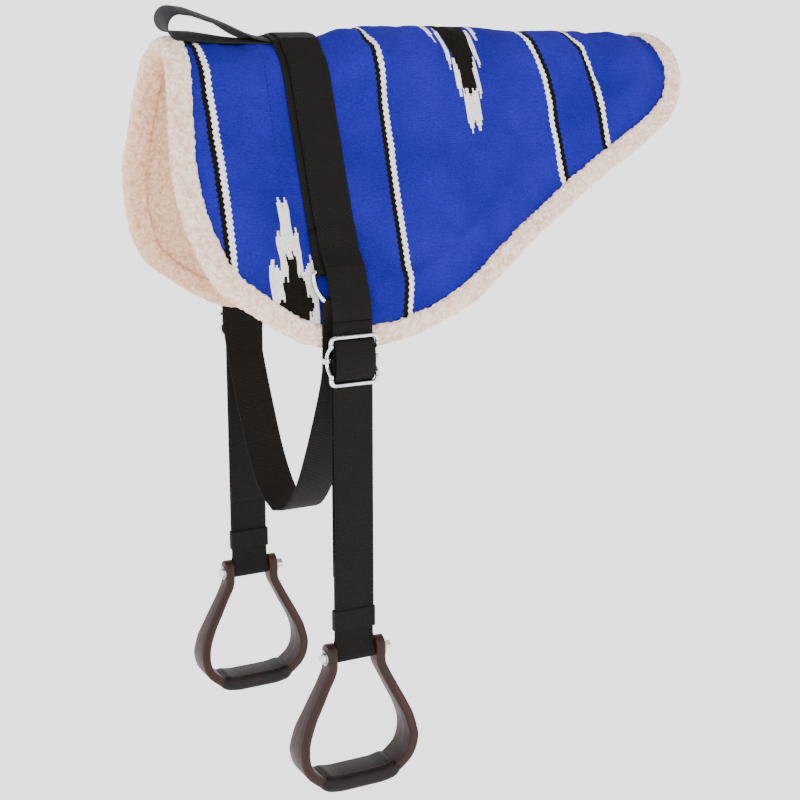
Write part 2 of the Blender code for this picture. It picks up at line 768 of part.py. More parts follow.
def girth_strap():
    """The girth under the belly. Its ends loop over the curved wires of the D rings, bunched to fit them."""
    half = [Vector(point) for point in girth_path()]
    path = both_sides(half)
    ways = mitres(path)
    centre = Vector(flank(RING_CENTRE, RING_OUT))
    down_way = Vector((cos(FLANK_TURN), -sin(FLANK_TURN)))

    def place(column, row, face):
        share = 2 * column / GIRTH_COLUMNS - 1
        y, z = Vector(path[row]) + ways[row] * (WEB_THICKNESS / 2 if face else -WEB_THICKNESS / 2)
        side = -1 if y < 0 else 1
        drop = (Vector((abs(y), z)) - centre).dot(down_way)
        near_ring = min(drop, GIRTH_SPREAD)
        turn = WEB_BUNCH * share
        flat = smooth((drop - GIRTH_SPREAD) / GIRTH_FLAT)
        lift = down_way * near_ring * (cos(turn) - 1) * (1 - flat)
        lift.x *= 1 - smooth((drop - GIRTH_SPREAD) / (GIRTH_FLAT / 5))
        x = near_ring * sin(turn) * (1 - flat) + WEB_WIDTH / 2 * share * flat
        return Vector((SURCINGLE_SET + x, y + side * lift.x, z + lift.y))

    return sheet("girth_strap", GIRTH_COLUMNS, len(path) - 1, place, WEB_BLACK)


# The hanging straps and their slides

def hanging_strap(name, side):
    """The flat strap that the stirrup's weight hangs on. Its rounded top turns on the strap over the back."""
    half = WEB_THICKNESS / 2
    path = [(STRAP_OUT, -STRAP_HINGE_DOWN + half * rise) for rise, _ in ROUND_END_SHARES]
    path += [(STRAP_OUT, -STRAP_HINGE_DOWN), (STRAP_OUT, STRAP_END_OVER_BOLT - BOLT_DOWN)]
    shares = [share for _, share in ROUND_END_SHARES] + [1.0, 1.0]
    return webbing(name, path, side, WEB_BLACK, shares=shares)


def slide_frame(name, side):
    """A wire frame in front of the strap. Its side rails crank back through the strap's plane to carry the
    middle bar in two round bosses."""
    top = -STRAP_HINGE_DOWN - SLIDE_UNDER_HINGE - SLIDE_WIRE
    foot = top - SLIDE_HEIGHT + 2 * SLIDE_WIRE
    corner = SLIDE_HALF - SLIDE_CORNER
    rail = [(x, SLIDE_OUT, z) for x, z in arc((corner, top - SLIDE_CORNER), SLIDE_CORNER, pi / 2, 0.0, 3)]
    rail += [(SLIDE_HALF, SLIDE_OUT, SLIDE_CRANK - BAR_DOWN), (SLIDE_HALF, BAR_OUT, BOSS_RADIUS * 1.6 - BAR_DOWN)]
    rail += [(SLIDE_HALF, BAR_OUT, -BOSS_RADIUS * 1.6 - BAR_DOWN), (SLIDE_HALF, SLIDE_OUT, -SLIDE_CRANK - BAR_DOWN)]
    rail += [(x, SLIDE_OUT, z) for x, z in arc((corner, foot + SLIDE_CORNER), SLIDE_CORNER, 0.0, -pi / 2, 3)]
    points = rail + [(-x, y, z) for x, y, z in reversed(rail)]
    frame = as_mesh(wire(name, [(x, side * y, z) for x, y, z in points], SLIDE_WIRE, CHROME))
    for end in (-1, 1):
        bm = bmesh.new()
        bmesh.ops.create_uvsphere(bm, u_segments=12, v_segments=8, radius=BOSS_RADIUS)
        boss = cutter(f"{name}_boss_{end}", bm, (end * SLIDE_HALF, side * BAR_OUT, -BAR_DOWN))
        combine(frame, boss, "UNION")
    bore = drill(f"{name}_bore", BAR_RADIUS + GAP, 3 * SLIDE_HALF, (0.0, side * BAR_OUT, -BAR_DOWN))
    combine(frame, bore, "DIFFERENCE")
    return frame


def slide_bar(name, side):
    """The middle bar, held in the bosses by its two spread ends."""
    end = SLIDE_HALF + BOSS_RADIUS + GAP
    far = end + BAR_HEAD
    rim = BAR_HEAD_RADIUS
    profile = [(0.0, far), (rim * 0.7, far), (rim, far - BAR_HEAD * 0.4), (rim, end), (BAR_RADIUS, end)]
    profile += [(radius, -height) for radius, height in reversed(profile)]
    return turned(name, profile, CHROME, (0.0, side * BAR_OUT, -BAR_DOWN), sides=14)


def strap_return(name, side):
    """The strap's other end, sewn round the middle bar, and its run down behind the hanging strap."""
    bar = (BAR_OUT, -BAR_DOWN)
    turn = BAR_WRAP * 3
    path = [(TURN_BACK, -BAR_DOWN - RETURN_TAIL), (TURN_BACK, -BAR_DOWN - turn)]
    path += arc(bar, BAR_WRAP, radians(-50), radians(230), 10)
    path += [(RETURN_OUT, -BAR_DOWN - turn), (RETURN_OUT, RETURN_OVER_BOLT - BOLT_DOWN)]
    return webbing(name, path, side, WEB_BLACK)


def strap_turn(name, side):
    """The bight of the strap round the sleeve of the stirrup's bolt, with its two legs."""
    wrap = SLEEVE_RADIUS + GAP + WEB_THICKNESS / 2
    waist = 3 * wrap - BOLT_DOWN
    path = [(TURN_FRONT, TURN_OVER_BOLT - BOLT_DOWN), (TURN_FRONT, waist)]
    path += arc((BOLT_OUT, -BOLT_DOWN), wrap, radians(18), radians(-198), 12)
    path += [(TURN_BACK, waist), (TURN_BACK, TURN_OVER_BOLT - BOLT_DOWN)]
    return webbing(name, path, side, WEB_BLACK)


def keeper_band(name, side):
    """A closed band of webbing round all the straps above the stirrup."""
    half = WEB_WIDTH / 2 + KEEPER_SIDE_GAP
    low = RETURN_OUT - WEB_THICKNESS / 2 - GAP
    high = STRAP_OUT + WEB_THICKNESS / 2 + GAP
    foot = KEEPER_OVER_BOLT - BOLT_DOWN
    rings = []
    corners = ((1, 1), (-1, 1), (-1, -1), (1, -1))
    for i, (sx, sy) in enumerate(corners):
        flat = (1, 0) if i % 2 else (0, 1)
        for leg in (flat, (1 - flat[0], 1 - flat[1])):
            ring = []
            for thick, level in ((0, 0), (1, 0), (1, 1), (0, 1)):
                cut = KEEPER_CORNER if thick else GAP
                x = half + thick * WEB_THICKNESS - cut * leg[0]
                y = (high - low) / 2 + thick * WEB_THICKNESS - cut * leg[1]
                ring.append((sx * x, side * ((high + low) / 2 + sy * y), foot + level * KEEPER_HEIGHT))
            rings.append(ring)
    return loft(name, rings, WEB_BLACK, closed=True)


# The stirrups

def stirrup_side():
    """Stations down one side of the stirrup to the middle of its tread, as (middle x, middle z, way out,
    depth). The outline is the wood's outer side."""
    outline = [(x * STIRRUP_HALF, -z * STIRRUP_DROP) for x, z in STIRRUP_SIDE_SHARES]
    outline = curve_through(outline, 2)
    for point in outline:
        point.y = max(point.y, -STIRRUP_DROP)
    ways = mitres([*outline, Vector((-outline[-2].x, outline[-2].y))])[:-1]
    stations = []
    for point, way in zip(outline, ways):
        way = way.normalized()
        depth = STIRRUP_DEPTH * between(STIRRUP_DEPTH_SHARES, -point.y / STIRRUP_DROP)
        stations.append((point - way * STIRRUP_WOOD / 2, way, depth))
    return stations


def ear_stations():
    """The rounded top of one side, over the bolt."""
    radius = STIRRUP_DEPTH * STIRRUP_DEPTH_SHARES[0][1] / 2
    straight = EAR_RISE - radius
    stations = []
    for turn in EAR_TURNS:
        height = straight + radius * sin(turn)
        stations.append((Vector((EAR_HALF - STIRRUP_WOOD / 2, height)), Vector((1.0, 0.0)), 2 * radius * cos(turn)))
    return stations


def whole_stirrup(half):
    """Stations from the top of one side round the tread to the top of the other."""
    other = []
    for middle, way, depth in reversed(half[:-1]):
        other.append((Vector((-middle.x, middle.y)), Vector((-way.x, way.y)), depth))
    return half + other


def section_at(station, side, grown=0.0, grown_depth=0.0):
    """A chamfered rectangle across the wood at a station."""
    middle, way, depth = station
    thick = STIRRUP_WOOD / 2 + grown
    wide = depth / 2 + grown_depth
    cut = min(STIRRUP_EDGE + grown / 2, wide * 0.6)
    ring = []
    for a, b in (
        (thick, wide - cut), (thick - cut, wide), (cut - thick, wide), (-thick, wide - cut),
        (-thick, cut - wide), (cut - thick, -wide), (thick - cut, -wide), (thick, cut - wide),
    ):
        place = middle + way * a
        ring.append((place.x, side * BOLT_OUT + b, place.y - BOLT_DOWN))
    return ring


def stirrup_frame(name, side):
    """A bent wood stirrup, narrow at its two ears and wide at the tread, bored for the bolt."""
    stations = whole_stirrup(ear_stations() + stirrup_side())
    frame = loft(name, [section_at(station, side) for station in stations], WOOD)
    bore = drill(f"{name}_bore", BOLT_RADIUS + GAP, 3 * EAR_HALF, (0.0, side * BOLT_OUT, -BOLT_DOWN))
    combine(frame, bore, "DIFFERENCE")
    return frame


def tread_leather(name, side):
    """A padded leather sleeve laced round the tread."""
    half = []
    for station in stirrup_side():
        middle = station[0]
        if middle.x < LEATHER_HALF - STIRRUP_WOOD / 2 and middle.y < -STIRRUP_DROP / 2:
            half.append(station)
    stations = whole_stirrup(half)
    rings = [section_at(station, side, LEATHER, LEATHER_SIDE) for station in stations]
    rings += [section_at(station, side, GAP, GAP) for station in reversed(stations)]
    return loft(name, rings, LEATHER_BROWN, closed=True)


def neck_bolt(prefix, side, carrier):
    """The bolt through both ears, with its sleeve, two washers and a nut."""
    centre = (0.0, side * BOLT_OUT, -BOLT_DOWN)
    hole = BOLT_RADIUS + GAP
    washer = EAR_HALF + GAP
    seat = washer + WASHER + GAP
    tip = seat + NUT_HEIGHT + WASHER
    rim = BOLT_HEAD_RADIUS
    profile = [(0.0, tip), (BOLT_RADIUS * 0.8, tip), (BOLT_RADIUS, tip - BOLT_RADIUS * 0.2)]
    profile += [(BOLT_RADIUS, -seat), (rim, -seat), (rim, -seat - BOLT_HEAD * 0.4)]
    profile += [(rim * 0.75, -seat - BOLT_HEAD * 0.85), (rim * 0.35, -seat - BOLT_HEAD), (0.0, -seat - BOLT_HEAD)]
    ears = EAR_HALF - STIRRUP_WOOD - GAP
    pieces = [
        turned(f"{prefix}_neck_bolt", profile, CHROME, centre),
        bushing(f"{prefix}_spacer_sleeve", SLEEVE_RADIUS, hole, -ears, ears, STEEL, centre),
        bushing(f"{prefix}_head_washer", WASHER_RADIUS, hole, -washer - WASHER, -washer, STEEL, centre),
        bushing(f"{prefix}_nut_washer", WASHER_RADIUS, hole, washer, washer + WASHER, STEEL, centre),
        bushing(f"{prefix}_bolt_nut", NUT_RADIUS, hole / cos(pi / 6), seat, seat + NUT_HEIGHT, CHROME, centre, 6),
    ]
    for piece in pieces:
        ride(piece, carrier)


def stirrup_leather(prefix, side):
    """One side's hanging strap with all that it carries."""
    hinge = pivot(f"{prefix}_strap_hinge", (0.0, side * STRAP_OUT, -STRAP_HINGE_DOWN))
    slide = pivot(f"{prefix}_slide_run", (0.0, side * BAR_OUT, -BAR_DOWN), hinge)
    carrier = pivot(f"{prefix}_stirrup_drop", (0.0, side * BOLT_OUT, -BOLT_DOWN), hinge)
    keeper = pivot(f"{prefix}_keeper_run", (0.0, side * STRAP_OUT, KEEPER_OVER_BOLT - BOLT_DOWN), carrier)
    swing = pivot(f"{prefix}_stirrup_swing", (0.0, side * BOLT_OUT, -BOLT_DOWN), carrier)
    ride(hanging_strap(f"{prefix}_hanging_strap", side), hinge)
    ride(slide_frame(f"{prefix}_slide_frame", side), slide)
    ride(slide_bar(f"{prefix}_slide_bar", side), slide)
    ride(strap_return(f"{prefix}_strap_return", side), slide)
    ride(strap_turn(f"{prefix}_strap_turn", side), carrier)
    ride(keeper_band(f"{prefix}_keeper_band", side), keeper)
    ride(stirrup_frame(f"{prefix}_stirrup_frame", side), swing)
    ride(tread_leather(f"{prefix}_tread_leather", side), swing)
    neck_bolt(prefix, side, swing)


for leftover in list(bpy.data.objects):
    bpy.data.objects.remove(leftover)

PAD = collection("bareback_pad")
CUTTERS = collection("cutters", hidden=True)
WOVEN_BLUE = finish("woven_blue", (0.025, 0.05, 0.42), 0.95)
FELT = finish("felt", (0.45, 0.43, 0.40), 1.0)
FLEECE = finish("fleece", (0.70, 0.52, 0.37), 1.0)
BINDING = finish("fleece_binding", (0.90, 0.80, 0.70), 1.0)
WEB_BLACK = finish("black_webbing", (0.020, 0.018, 0.015), 0.75)
WEB_GREY = finish("handle_webbing", (0.045, 0.045, 0.048), 0.75)
CHROME = finish("chrome", (0.80, 0.80, 0.80), 0.15, 1.0)
STEEL = finish("zinc_steel", (0.60, 0.60, 0.60), 0.35, 1.0)
WOOD = finish("stained_wood", (0.060, 0.025, 0.016), 0.45)
LEATHER_BROWN = finish("tread_leather", (0.10, 0.070, 0.060), 0.6)

OUTLINE = pad_outline()
INWARD = inward(OUTLINE)
LAYER_EDGE = inset(LAYER_INSET)
FREE_EDGE = inset(BINDING_REACH + BINDING_FREE)
ROWS = row_places()

blanket_cover()
felt_core()
fleece_lining()
edge_binding()
surcingle()
over_back_strap()
grab_handle()
d_ring("near_d_ring", -1)
d_ring("off_d_ring", 1)
girth = girth_strap()
ride(girth, pivot("girth_swing", (SURCINGLE_SET, 0.0, flank(RING_CENTRE, RING_OUT)[1])))
stirrup_leather("near", -1)
stirrup_leather("off", 1)
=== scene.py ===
"""A bareback pad for riding without a saddle: a woven blanket over felt and fleece, bent over the horse's
back, with a surcingle, a grab handle, a girth and a pair of wooden stirrups on adjustable webbing."""
from math import cos, pi, radians, sin

import bmesh
import bpy
import numpy as np
from mathutils import Matrix, Vector, noise


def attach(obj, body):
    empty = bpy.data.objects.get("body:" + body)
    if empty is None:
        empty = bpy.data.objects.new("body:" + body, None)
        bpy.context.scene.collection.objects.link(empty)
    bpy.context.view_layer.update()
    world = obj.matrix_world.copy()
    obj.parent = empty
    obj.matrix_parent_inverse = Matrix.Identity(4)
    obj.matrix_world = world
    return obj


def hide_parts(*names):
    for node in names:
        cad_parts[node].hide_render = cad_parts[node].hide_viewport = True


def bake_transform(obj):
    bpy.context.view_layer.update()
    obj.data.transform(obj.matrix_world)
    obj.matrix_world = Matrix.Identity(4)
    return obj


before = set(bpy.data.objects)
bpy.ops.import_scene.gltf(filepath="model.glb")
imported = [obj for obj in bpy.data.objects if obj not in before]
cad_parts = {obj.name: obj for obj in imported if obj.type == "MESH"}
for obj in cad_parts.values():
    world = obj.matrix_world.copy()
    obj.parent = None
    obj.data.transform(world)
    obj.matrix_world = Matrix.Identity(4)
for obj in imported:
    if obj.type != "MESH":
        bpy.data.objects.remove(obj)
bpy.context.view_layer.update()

# ----------------------------------------
# The woven blanket cover. A flat blanket of tightly woven wool in royal blue, with black and white
# bands and two stepped motifs woven in. It lies over the felt, is cut to the pad's outline with it,
# and is pressed flat where the straps and the binding are sewn through all the layers.

pad_top = 0.0155
spine_radius, flank_length, barrel_radius, flank_turn = 0.062, 0.2452, 0.170, radians(69.5)
spine_arc = spine_radius * flank_turn
flank_end = spine_arc + flank_length
barrel_end = flank_end + barrel_radius * (pi / 2 - flank_turn)
blanket_front, blanket_length, blanket_half = -0.184, 0.724, 0.4052
strap_front, strap_rear = -0.0431, 0.0266
# The cut edge in mm, (along the spine, down the side), from the front of the spine to its rear end
cut_edge_mm = (
    (-168, 0), (-178, 110), (-184, 200), (-172, 270), (-150, 320), (-105, 361), (-50, 394), (15, 405),
    (90, 396), (174, 362), (273, 291), (378, 223), (450, 183), (507, 146), (533, 112), (540, 71), (528, 0),
)


def smooth(share):
    share = min(max(share, 0.0), 1.0)
    return share * share * (3 - 2 * share)


def curve_through(points, steps, closed=False):
    """A smooth curve through the points, with this many steps from each to the next."""
    points = [Vector(p) for p in points]
    count = len(points)
    if closed:
        spans = [[points[(i + k - 1) % count] for k in range(4)] for i in range(count)]
    else:
        points = [2 * points[0] - points[1], *points, 2 * points[-1] - points[-2]]
        spans = [points[i : i + 4] for i in range(count - 1)]
    curve = []
    for a, b, c, d in spans:
        for step in range(steps):
            t = step / steps
            cubic = (3 * b - a - 3 * c + d) * t**3
            curve.append((2 * b + (c - a) * t + (2 * a - 5 * b + 4 * c - d) * t**2 + cubic) / 2)
    return curve if closed else [*curve, points[-2]]


def over_the_back(x, across, out):
    """A place on the flat pad, bent over the back. across is the way down the off side, or the near side
    where it is negative, and out is the height over the pressed pad's outer face."""
    down = abs(across)
    turn = min(down, spine_arc) / spine_radius
    y = (spine_radius + out) * sin(turn)
    z = pad_top - spine_radius + (spine_radius + out) * cos(turn)
    flat = min(max(down - spine_arc, 0.0), flank_length)
    y, z = y + flat * cos(flank_turn), z - flat * sin(flank_turn)
    if down > flank_end:
        bend = min((down - flank_end) / barrel_radius, pi / 2 - flank_turn)
        y += (barrel_radius + out) * (sin(flank_turn + bend) - sin(flank_turn))
        z += (barrel_radius + out) * (cos(flank_turn + bend) - cos(flank_turn)) - max(down - barrel_end, 0.0)
    return Vector((x, -y if across < 0 else y, z))


off_edge = [Vector((x / 1000, across / 1000)) for x, across in cut_edge_mm]
outline = curve_through(off_edge + [Vector((p.x, -p.y)) for p in reversed(off_edge[1:-1])], 9, closed=True)
inward = []
for i, point in enumerate(outline):
    along = outline[(i + 1) % len(outline)] - outline[i - 1]
    inward.append(Vector((along.y, -along.x)).normalized())


def from_edge(places):
    """How far inside the cut edge each place lies, in metres. It is less than zero outside."""
    places = np.asarray(places, float)
    a = np.array([p[:] for p in outline])
    b = np.roll(a, -1, axis=0)
    found = np.full(len(places), 9.0)
    inside = np.zeros(len(places), bool)
    for p, q, pq in zip(a, b, b - a):
        t = np.clip(((places - p) @ pq) / (pq @ pq), 0, 1)
        found = np.minimum(found, np.linalg.norm(places - p - t[:, None] * pq, axis=1))
        crosses = (p[1] > places[:, 1]) != (q[1] > places[:, 1])
        with np.errstate(divide="ignore", invalid="ignore"):
            at = p[0] + (places[:, 1] - p[1]) / (q[1] - p[1]) * (q[0] - p[0])
        inside ^= crosses & (places[:, 0] < at)
    return np.where(inside, found, -found)


# (place along the spine, share of the full padding on the spine there)
crown_along = (
    (0.0, 0.85), (0.092, 1.0), (0.178, 0.97), (0.232, 0.72), (0.324, 0.34), (0.405, 0.30), (0.497, 0.55),
    (0.54, 0.45),
)


def crown(x, across, edge):
    """How far the padding rises between the straps and the binding, which press it flat."""
    full_rise, slope = 0.014, 0.050
    down = abs(across)
    rise = smooth((edge - 0.030) / 0.045)
    if x < 0:
        rise *= smooth((strap_front - x) / slope) * 0.55 * smooth((down - strap_rear) / slope)
    else:
        spine = crown_along[-1][1]
        for (a, low), (b, high) in zip(crown_along, crown_along[1:]):
            if x <= b:
                spine = low + (high - low) * smooth((x - a) / (b - a))
                break
        rise *= smooth((x - strap_rear) / slope) * (spine + (0.6 - spine) * smooth(down / spine_arc / 2))
    lumps = noise.noise(Vector((x * 14, across * 11, 3.0))) * 0.0011
    lumps += noise.noise(Vector((x * 40, across * 33, 9.0))) * 0.0004
    lumps *= smooth((edge - 0.026) / 0.03)
    return full_rise * rise + lumps * smooth((abs(x + 0.008) - 0.035) / 0.03)


def linear(colour):
    """An sRGB hex colour as the linear colour that a shader takes."""
    parts = [int(colour[i : i + 2], 16) / 255 for i in (1, 3, 5)]
    return (*[c / 12.92 if c <= 0.04045 else ((c + 0.055) / 1.055) ** 2.4 for c in parts], 1.0)


def feed(node, sources):
    """Links an output, or a node's first output, to each of these inputs of a node."""
    for socket, source in sources.items():
        output = source.outputs[0] if isinstance(source, bpy.types.Node) else source
        node.id_data.links.new(output, node.inputs[socket])


def add(tree, kind, inputs=None, stops=None, **settings):
    """One shader node with its settings, a colour ramp's stops, and on its inputs values or outputs, where a
    node stands for its first output."""
    made = tree.nodes.new("ShaderNode" + kind)
    for name, value in settings.items():
        setattr(made, name, value)
    for socket, value in (inputs or {}).items():
        if isinstance(value, (bpy.types.Node, bpy.types.NodeSocket)):
            feed(made, {socket: value})
        else:
            made.inputs[socket].default_value = value
    if stops:
        ramp = made.color_ramp
        while len(ramp.elements) < len(stops):
            ramp.elements.new(1.0)
        for element, (place, colour) in zip(ramp.elements, stops):
            element.position = place
        for element, (place, colour) in zip(ramp.elements, stops):
            element.color = linear(colour)
    return made


def new_material(name, **sockets):
    """A Principled material with these values on its sockets, its node tree and its shader."""
    material = bpy.data.materials.new(name)
    material.use_nodes = True
    shader = material.node_tree.nodes["Principled BSDF"]
    for socket, value in sockets.items():
        shader.inputs[socket.replace("_", " ")].default_value = value
    return material, material.node_tree, shader


def new_mesh(name, bm):
    mesh = bpy.data.meshes.new(name)
    bm.to_mesh(mesh)
    bm.free()
    return mesh


def in_scene(name, data):
    thing = bpy.data.objects.new(name, data)
    bpy.context.scene.collection.objects.link(thing)
    return thing


def finished_piece(name, bm, material, slot, body=None, *stands_for, angle=None):
    """The mesh as a shaded piece that rides on a body and stands for its CAD solids."""
    mesh = new_mesh(name, bm)
    mesh.materials.append(material)
    mesh.shade_smooth()
    if angle:
        mesh.set_sharp_from_angle(angle=radians(angle))
    piece = in_scene(name, mesh)
    if body:
        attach(piece, body)
    if stands_for:
        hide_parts(*stands_for)
    return piece


# Bands across the blanket: (place on the spine, place at the hem, 1 where its black yarn is in front), and
# how far down the side the hem is taken to be
bands = ((-0.131, -0.134, 1), (0.090, 0.082, 1), (0.316, 0.343, -1), (0.380, 0.428, 1))
bands_hem = 0.36
# Spikes of the two motifs: (yarn, middle line, half width, first tip, full from, full to, last tip), with
# the line and width from the motif's middle and the rest down the side, all in mm
flame_spikes = (
    ("white", 4.5, 3.2, 219, 229, 400, 420), ("white", 0, 6.5, 226, 236, 400, 420),
    ("white", 12, 2.8, 257, 267, 400, 420), ("white", 8, 5.5, 266, 276, 400, 420),
    ("white", 25.5, 2.8, 289, 300, 400, 420), ("white", 21, 7.2, 299, 312, 400, 420),
    ("black", 4.5, 2.6, 283, 294, 400, 420), ("black", 0, 6.5, 292, 300, 400, 420),
    ("black", 10, 4, 311, 321, 400, 420), ("black", 17.5, 4.4, 336, 346, 351, 361),
)
spine_spikes = (
    ("white", 32, 3, -60, -40, 26, 44), ("white", 22, 3, 18, 30, 62, 79), ("white", 14, 3.4, 55, 67, 98, 116),
    ("white", 5, 5, 96, 100, 140, 157), ("black", 0, 25, -60, -30, 12, 62),
    ("black", 0, 18.5, -60, -30, 50, 114), ("black", 7, 3.5, -60, -30, 94, 109),
)
motifs = ((-0.061, flame_spikes), (0.207, spine_spikes))


def yarn_at(x, across):
    """The yarn of a motif at a place on the flat blanket: 0 is none, 0.5 black and 1 white."""
    down = abs(across) * 1000
    shown = 0.0
    for middle, spikes in motifs:
        aside = abs(x - middle) * 1000
        for yarn, line, half, tip, full, to, last in spikes:
            width = half * min(1, (down - tip) / (full - tip), (last - down) / (last - to))
            if tip < down < last and abs(aside - line) < width:
                shown = 0.5 if yarn == "black" else max(shown, 1.0)
    return shown


def past_band(which, x, across):
    """How far a place lies past the middle of a band in mm, towards the band's white yarn."""
    spine, hem, way = which
    away = x - spine - (hem - spine) * abs(across) / bands_hem
    return max(-20.0, min(20.0, away * way * 1000))


def blanket_columns():
    """Where the cover's warp columns lie: closer where a band or a motif is woven in."""
    woven_in, close, apart, rear = [(-0.101, -0.021), (0.170, 0.246)], 0.0019, 0.0048, 0.541
    columns, x = [], blanket_front
    while x < rear:
        columns.append(x)
        x += close if any(a <= x < b for a, b in woven_in) else apart
    return columns


def flat_grid(columns, rows):
    """A square grid from -1 to 1 in x and y, with this many faces each way."""
    bm = bmesh.new()
    bmesh.ops.create_grid(bm, x_segments=columns, y_segments=rows, size=1)
    return bm


def quilting_line(down):
    """Where the quilting in front of the surcingle lies along the spine, this far down the side."""
    return -0.052 - 0.04 * down


def settled():
    """A short cloth simulation of the cover on a coarse grid. It is a little too large for the wadding, is
    held where it is sewn through, and puckers between. It gives each place's move from its padded form."""
    rows, columns, frames, furthest = 135, 120, 14, 0.0042
    binding_in, quilting_half, quilted_from, quilted_to = 0.027, 0.0036, 0.03, 0.235
    bm = flat_grid(columns, rows)
    places = [(blanket_front + (v.co.x + 1) / 2 * blanket_length, v.co.y * blanket_half) for v in bm.verts]
    edges = from_edge(places)
    sewn = []
    for i, (vert, (x, across), edge) in enumerate(zip(bm.verts, places, edges)):
        ruck = 0.0006 * noise.noise(Vector((x * 70, across * 45, 5.0)))
        vert.co = over_the_back(x, across, crown(x, across, edge) + ruck)
        down = abs(across)
        quilted = abs(x - quilting_line(down)) < quilting_half and quilted_from < down < quilted_to
        if edge < binding_in or strap_front < x < strap_rear + 0.0006 or quilted:
            sewn.append(i)
    middle = min(bm.faces, key=lambda f: (f.calc_center_median() - Vector((0.2, 0, pad_top))).length)
    bm.normal_update()
    if middle.normal.z < 0:
        bmesh.ops.reverse_faces(bm, faces=bm.faces[:])
    start = np.array([v.co[:] for v in bm.verts])
    loose = in_scene("loose_cover", new_mesh("loose_cover", bm))
    loose.vertex_groups.new(name="sewn").add(sewn, 1.0, "REPLACE")
    cloth = loose.modifiers.new("cloth", "CLOTH")
    cloth.settings.quality = 5
    cloth.settings.mass = 0.05
    cloth.settings.tension_stiffness = cloth.settings.compression_stiffness = 15
    cloth.settings.bending_stiffness = 0.6
    cloth.settings.vertex_group_mass = "sewn"
    cloth.settings.use_pressure = True
    cloth.settings.uniform_pressure_force = 0.05
    cloth.settings.shrink_min = -0.022
    cloth.settings.effector_weights.gravity = 0.0
    cloth.collision_settings.use_collision = False
    for step in range(1, frames + 1):
        bpy.context.scene.frame_set(step)
    shape = loose.evaluated_get(bpy.context.evaluated_depsgraph_get()).data
    ended = np.empty(len(shape.vertices) * 3)
    shape.vertices.foreach_get("co", ended)
    moves = (ended.reshape(-1, 3) - start).reshape(rows + 1, columns + 1, 3)
    bpy.data.objects.remove(loose)
    bpy.context.scene.frame_set(1)
    size = np.linalg.norm(moves, axis=2, keepdims=True)
    return moves * np.minimum(1, furthest / np.maximum(size, 1e-6))


def moved(moves, x, across):
    """The settled cover's move at a place, read between the coarse grid's places."""
    rows, columns = moves.shape[0] - 1, moves.shape[1] - 1
    row = (across / blanket_half + 1) / 2 * rows
    column = (x - blanket_front) / blanket_length * columns
    i, k = min(max(int(row), 0), rows - 1), min(max(int(column), 0), columns - 1)
    a, b = row - i, column - k
    low, high = [moves[n, k] * (1 - b) + moves[n, k + 1] * b for n in (i, i + 1)]
    return Vector(low * (1 - a) + high * a)


def second_layer(bm):
    """A second layer of the mesh's faces, joined to the first round the rim. It gives its vertices."""
    made = bmesh.ops.extrude_face_region(bm, geom=bm.faces[:])["geom"]
    return [v for v in made if isinstance(v, bmesh.types.BMVert)]


def woven_cover():
    moves = settled()
    columns = blanket_columns()
    cloth_thick, under_binding = 0.0034, 0.0062
    bm = flat_grid(len(columns) - 1, 245)
    for vert in bm.verts:
        column = round((vert.co.x + 1) / 2 * (len(columns) - 1))
        vert.co = (columns[column], vert.co.y * blanket_half, 0)
    inside = from_edge([f.calc_center_median().xy for f in bm.faces]) > under_binding
    outside = [f for f, keep in zip(list(bm.faces), inside) if not keep]
    bmesh.ops.delete(bm, geom=outside, context="FACES")
    yarn = bm.faces.layers.float.new("yarn")
    band = bm.loops.layers.float.new("band")
    cut = bm.loops.layers.uv.new("cut")
    for face in bm.faces:
        centre = face.calc_center_median()
        face[yarn] = yarn_at(centre.x, centre.y)
        nearest = min(bands, key=lambda which: abs(past_band(which, centre.x, centre.y)))
        for loop in face.loops:
            loop[cut].uv = (loop.vert.co.x, loop.vert.co.y)
            loop[band] = past_band(nearest, loop.vert.co.x, loop.vert.co.y)
    bmesh.ops.reverse_faces(bm, faces=[f for f in bm.faces if f.normal.z < 0])
    edges = from_edge([v.co.xy for v in bm.verts])
    under = [(v, v.co.copy(), crown(v.co.x, v.co.y, edge)) for v, edge in zip(bm.verts, edges)]
    known = {(round(p.x, 6), round(p.y, 6)): rise for _, p, rise in under}
    for vert in second_layer(bm):
        x, across = vert.co.x, vert.co.y
        rise = known[(round(x, 6), round(across, 6))]
        vert.co = over_the_back(x, across, rise) + moved(moves, x, across)
    for vert, place, rise in under:
        vert.co = over_the_back(place.x, place.y, rise - cloth_thick) + moved(moves, place.x, place.y)
    bmesh.ops.recalc_face_normals(bm, faces=bm.faces[:])
    return bm


# Wool blanket cloth: matt, with a fine weft rib, faint heathering and a little lint. The rib is drawn at
# 3 mm, about twice the real one, because a finer one would not show. The bands' edges jog every 7 mm.
woven_blue, tree, shader = new_material("woven_wool", Roughness=0.95, Specular_IOR_Level=0.08)
cut = add(tree, "UVMap", uv_map="cut")
yarn = add(tree, "Attribute", attribute_name="yarn")
band = add(tree, "Attribute", attribute_name="band")
shade = add(tree, "TexNoise", {"Vector": cut, "Scale": 9.0, "Detail": 4.0})
fibres = add(tree, "TexNoise", {"Vector": cut, "Scale": 330.0, "Detail": 4.0, "Roughness": 0.75})
blue = add(tree, "ValToRGB", {"Fac": shade}, stops=[(0.3, "#19167A"), (0.7, "#261F95")])
turns = add(tree, "TexWave", {"Vector": cut, "Scale": 46.0}, bands_direction="Y", wave_profile="TRI")
jog = add(tree, "Math", {0: turns.outputs[1], 1: 2.0, 2: band.outputs["Fac"]}, operation="MULTIPLY_ADD")
place = add(tree, "MapRange", {0: jog, 1: -20.0, 2: 20.0, 3: 0.0, 4: 1.0})
black_to_white = [(0.0, "#0000FF"), (0.37, "#14110D"), (0.525, "#F4EEE8"), (0.69, "#0000FF")]
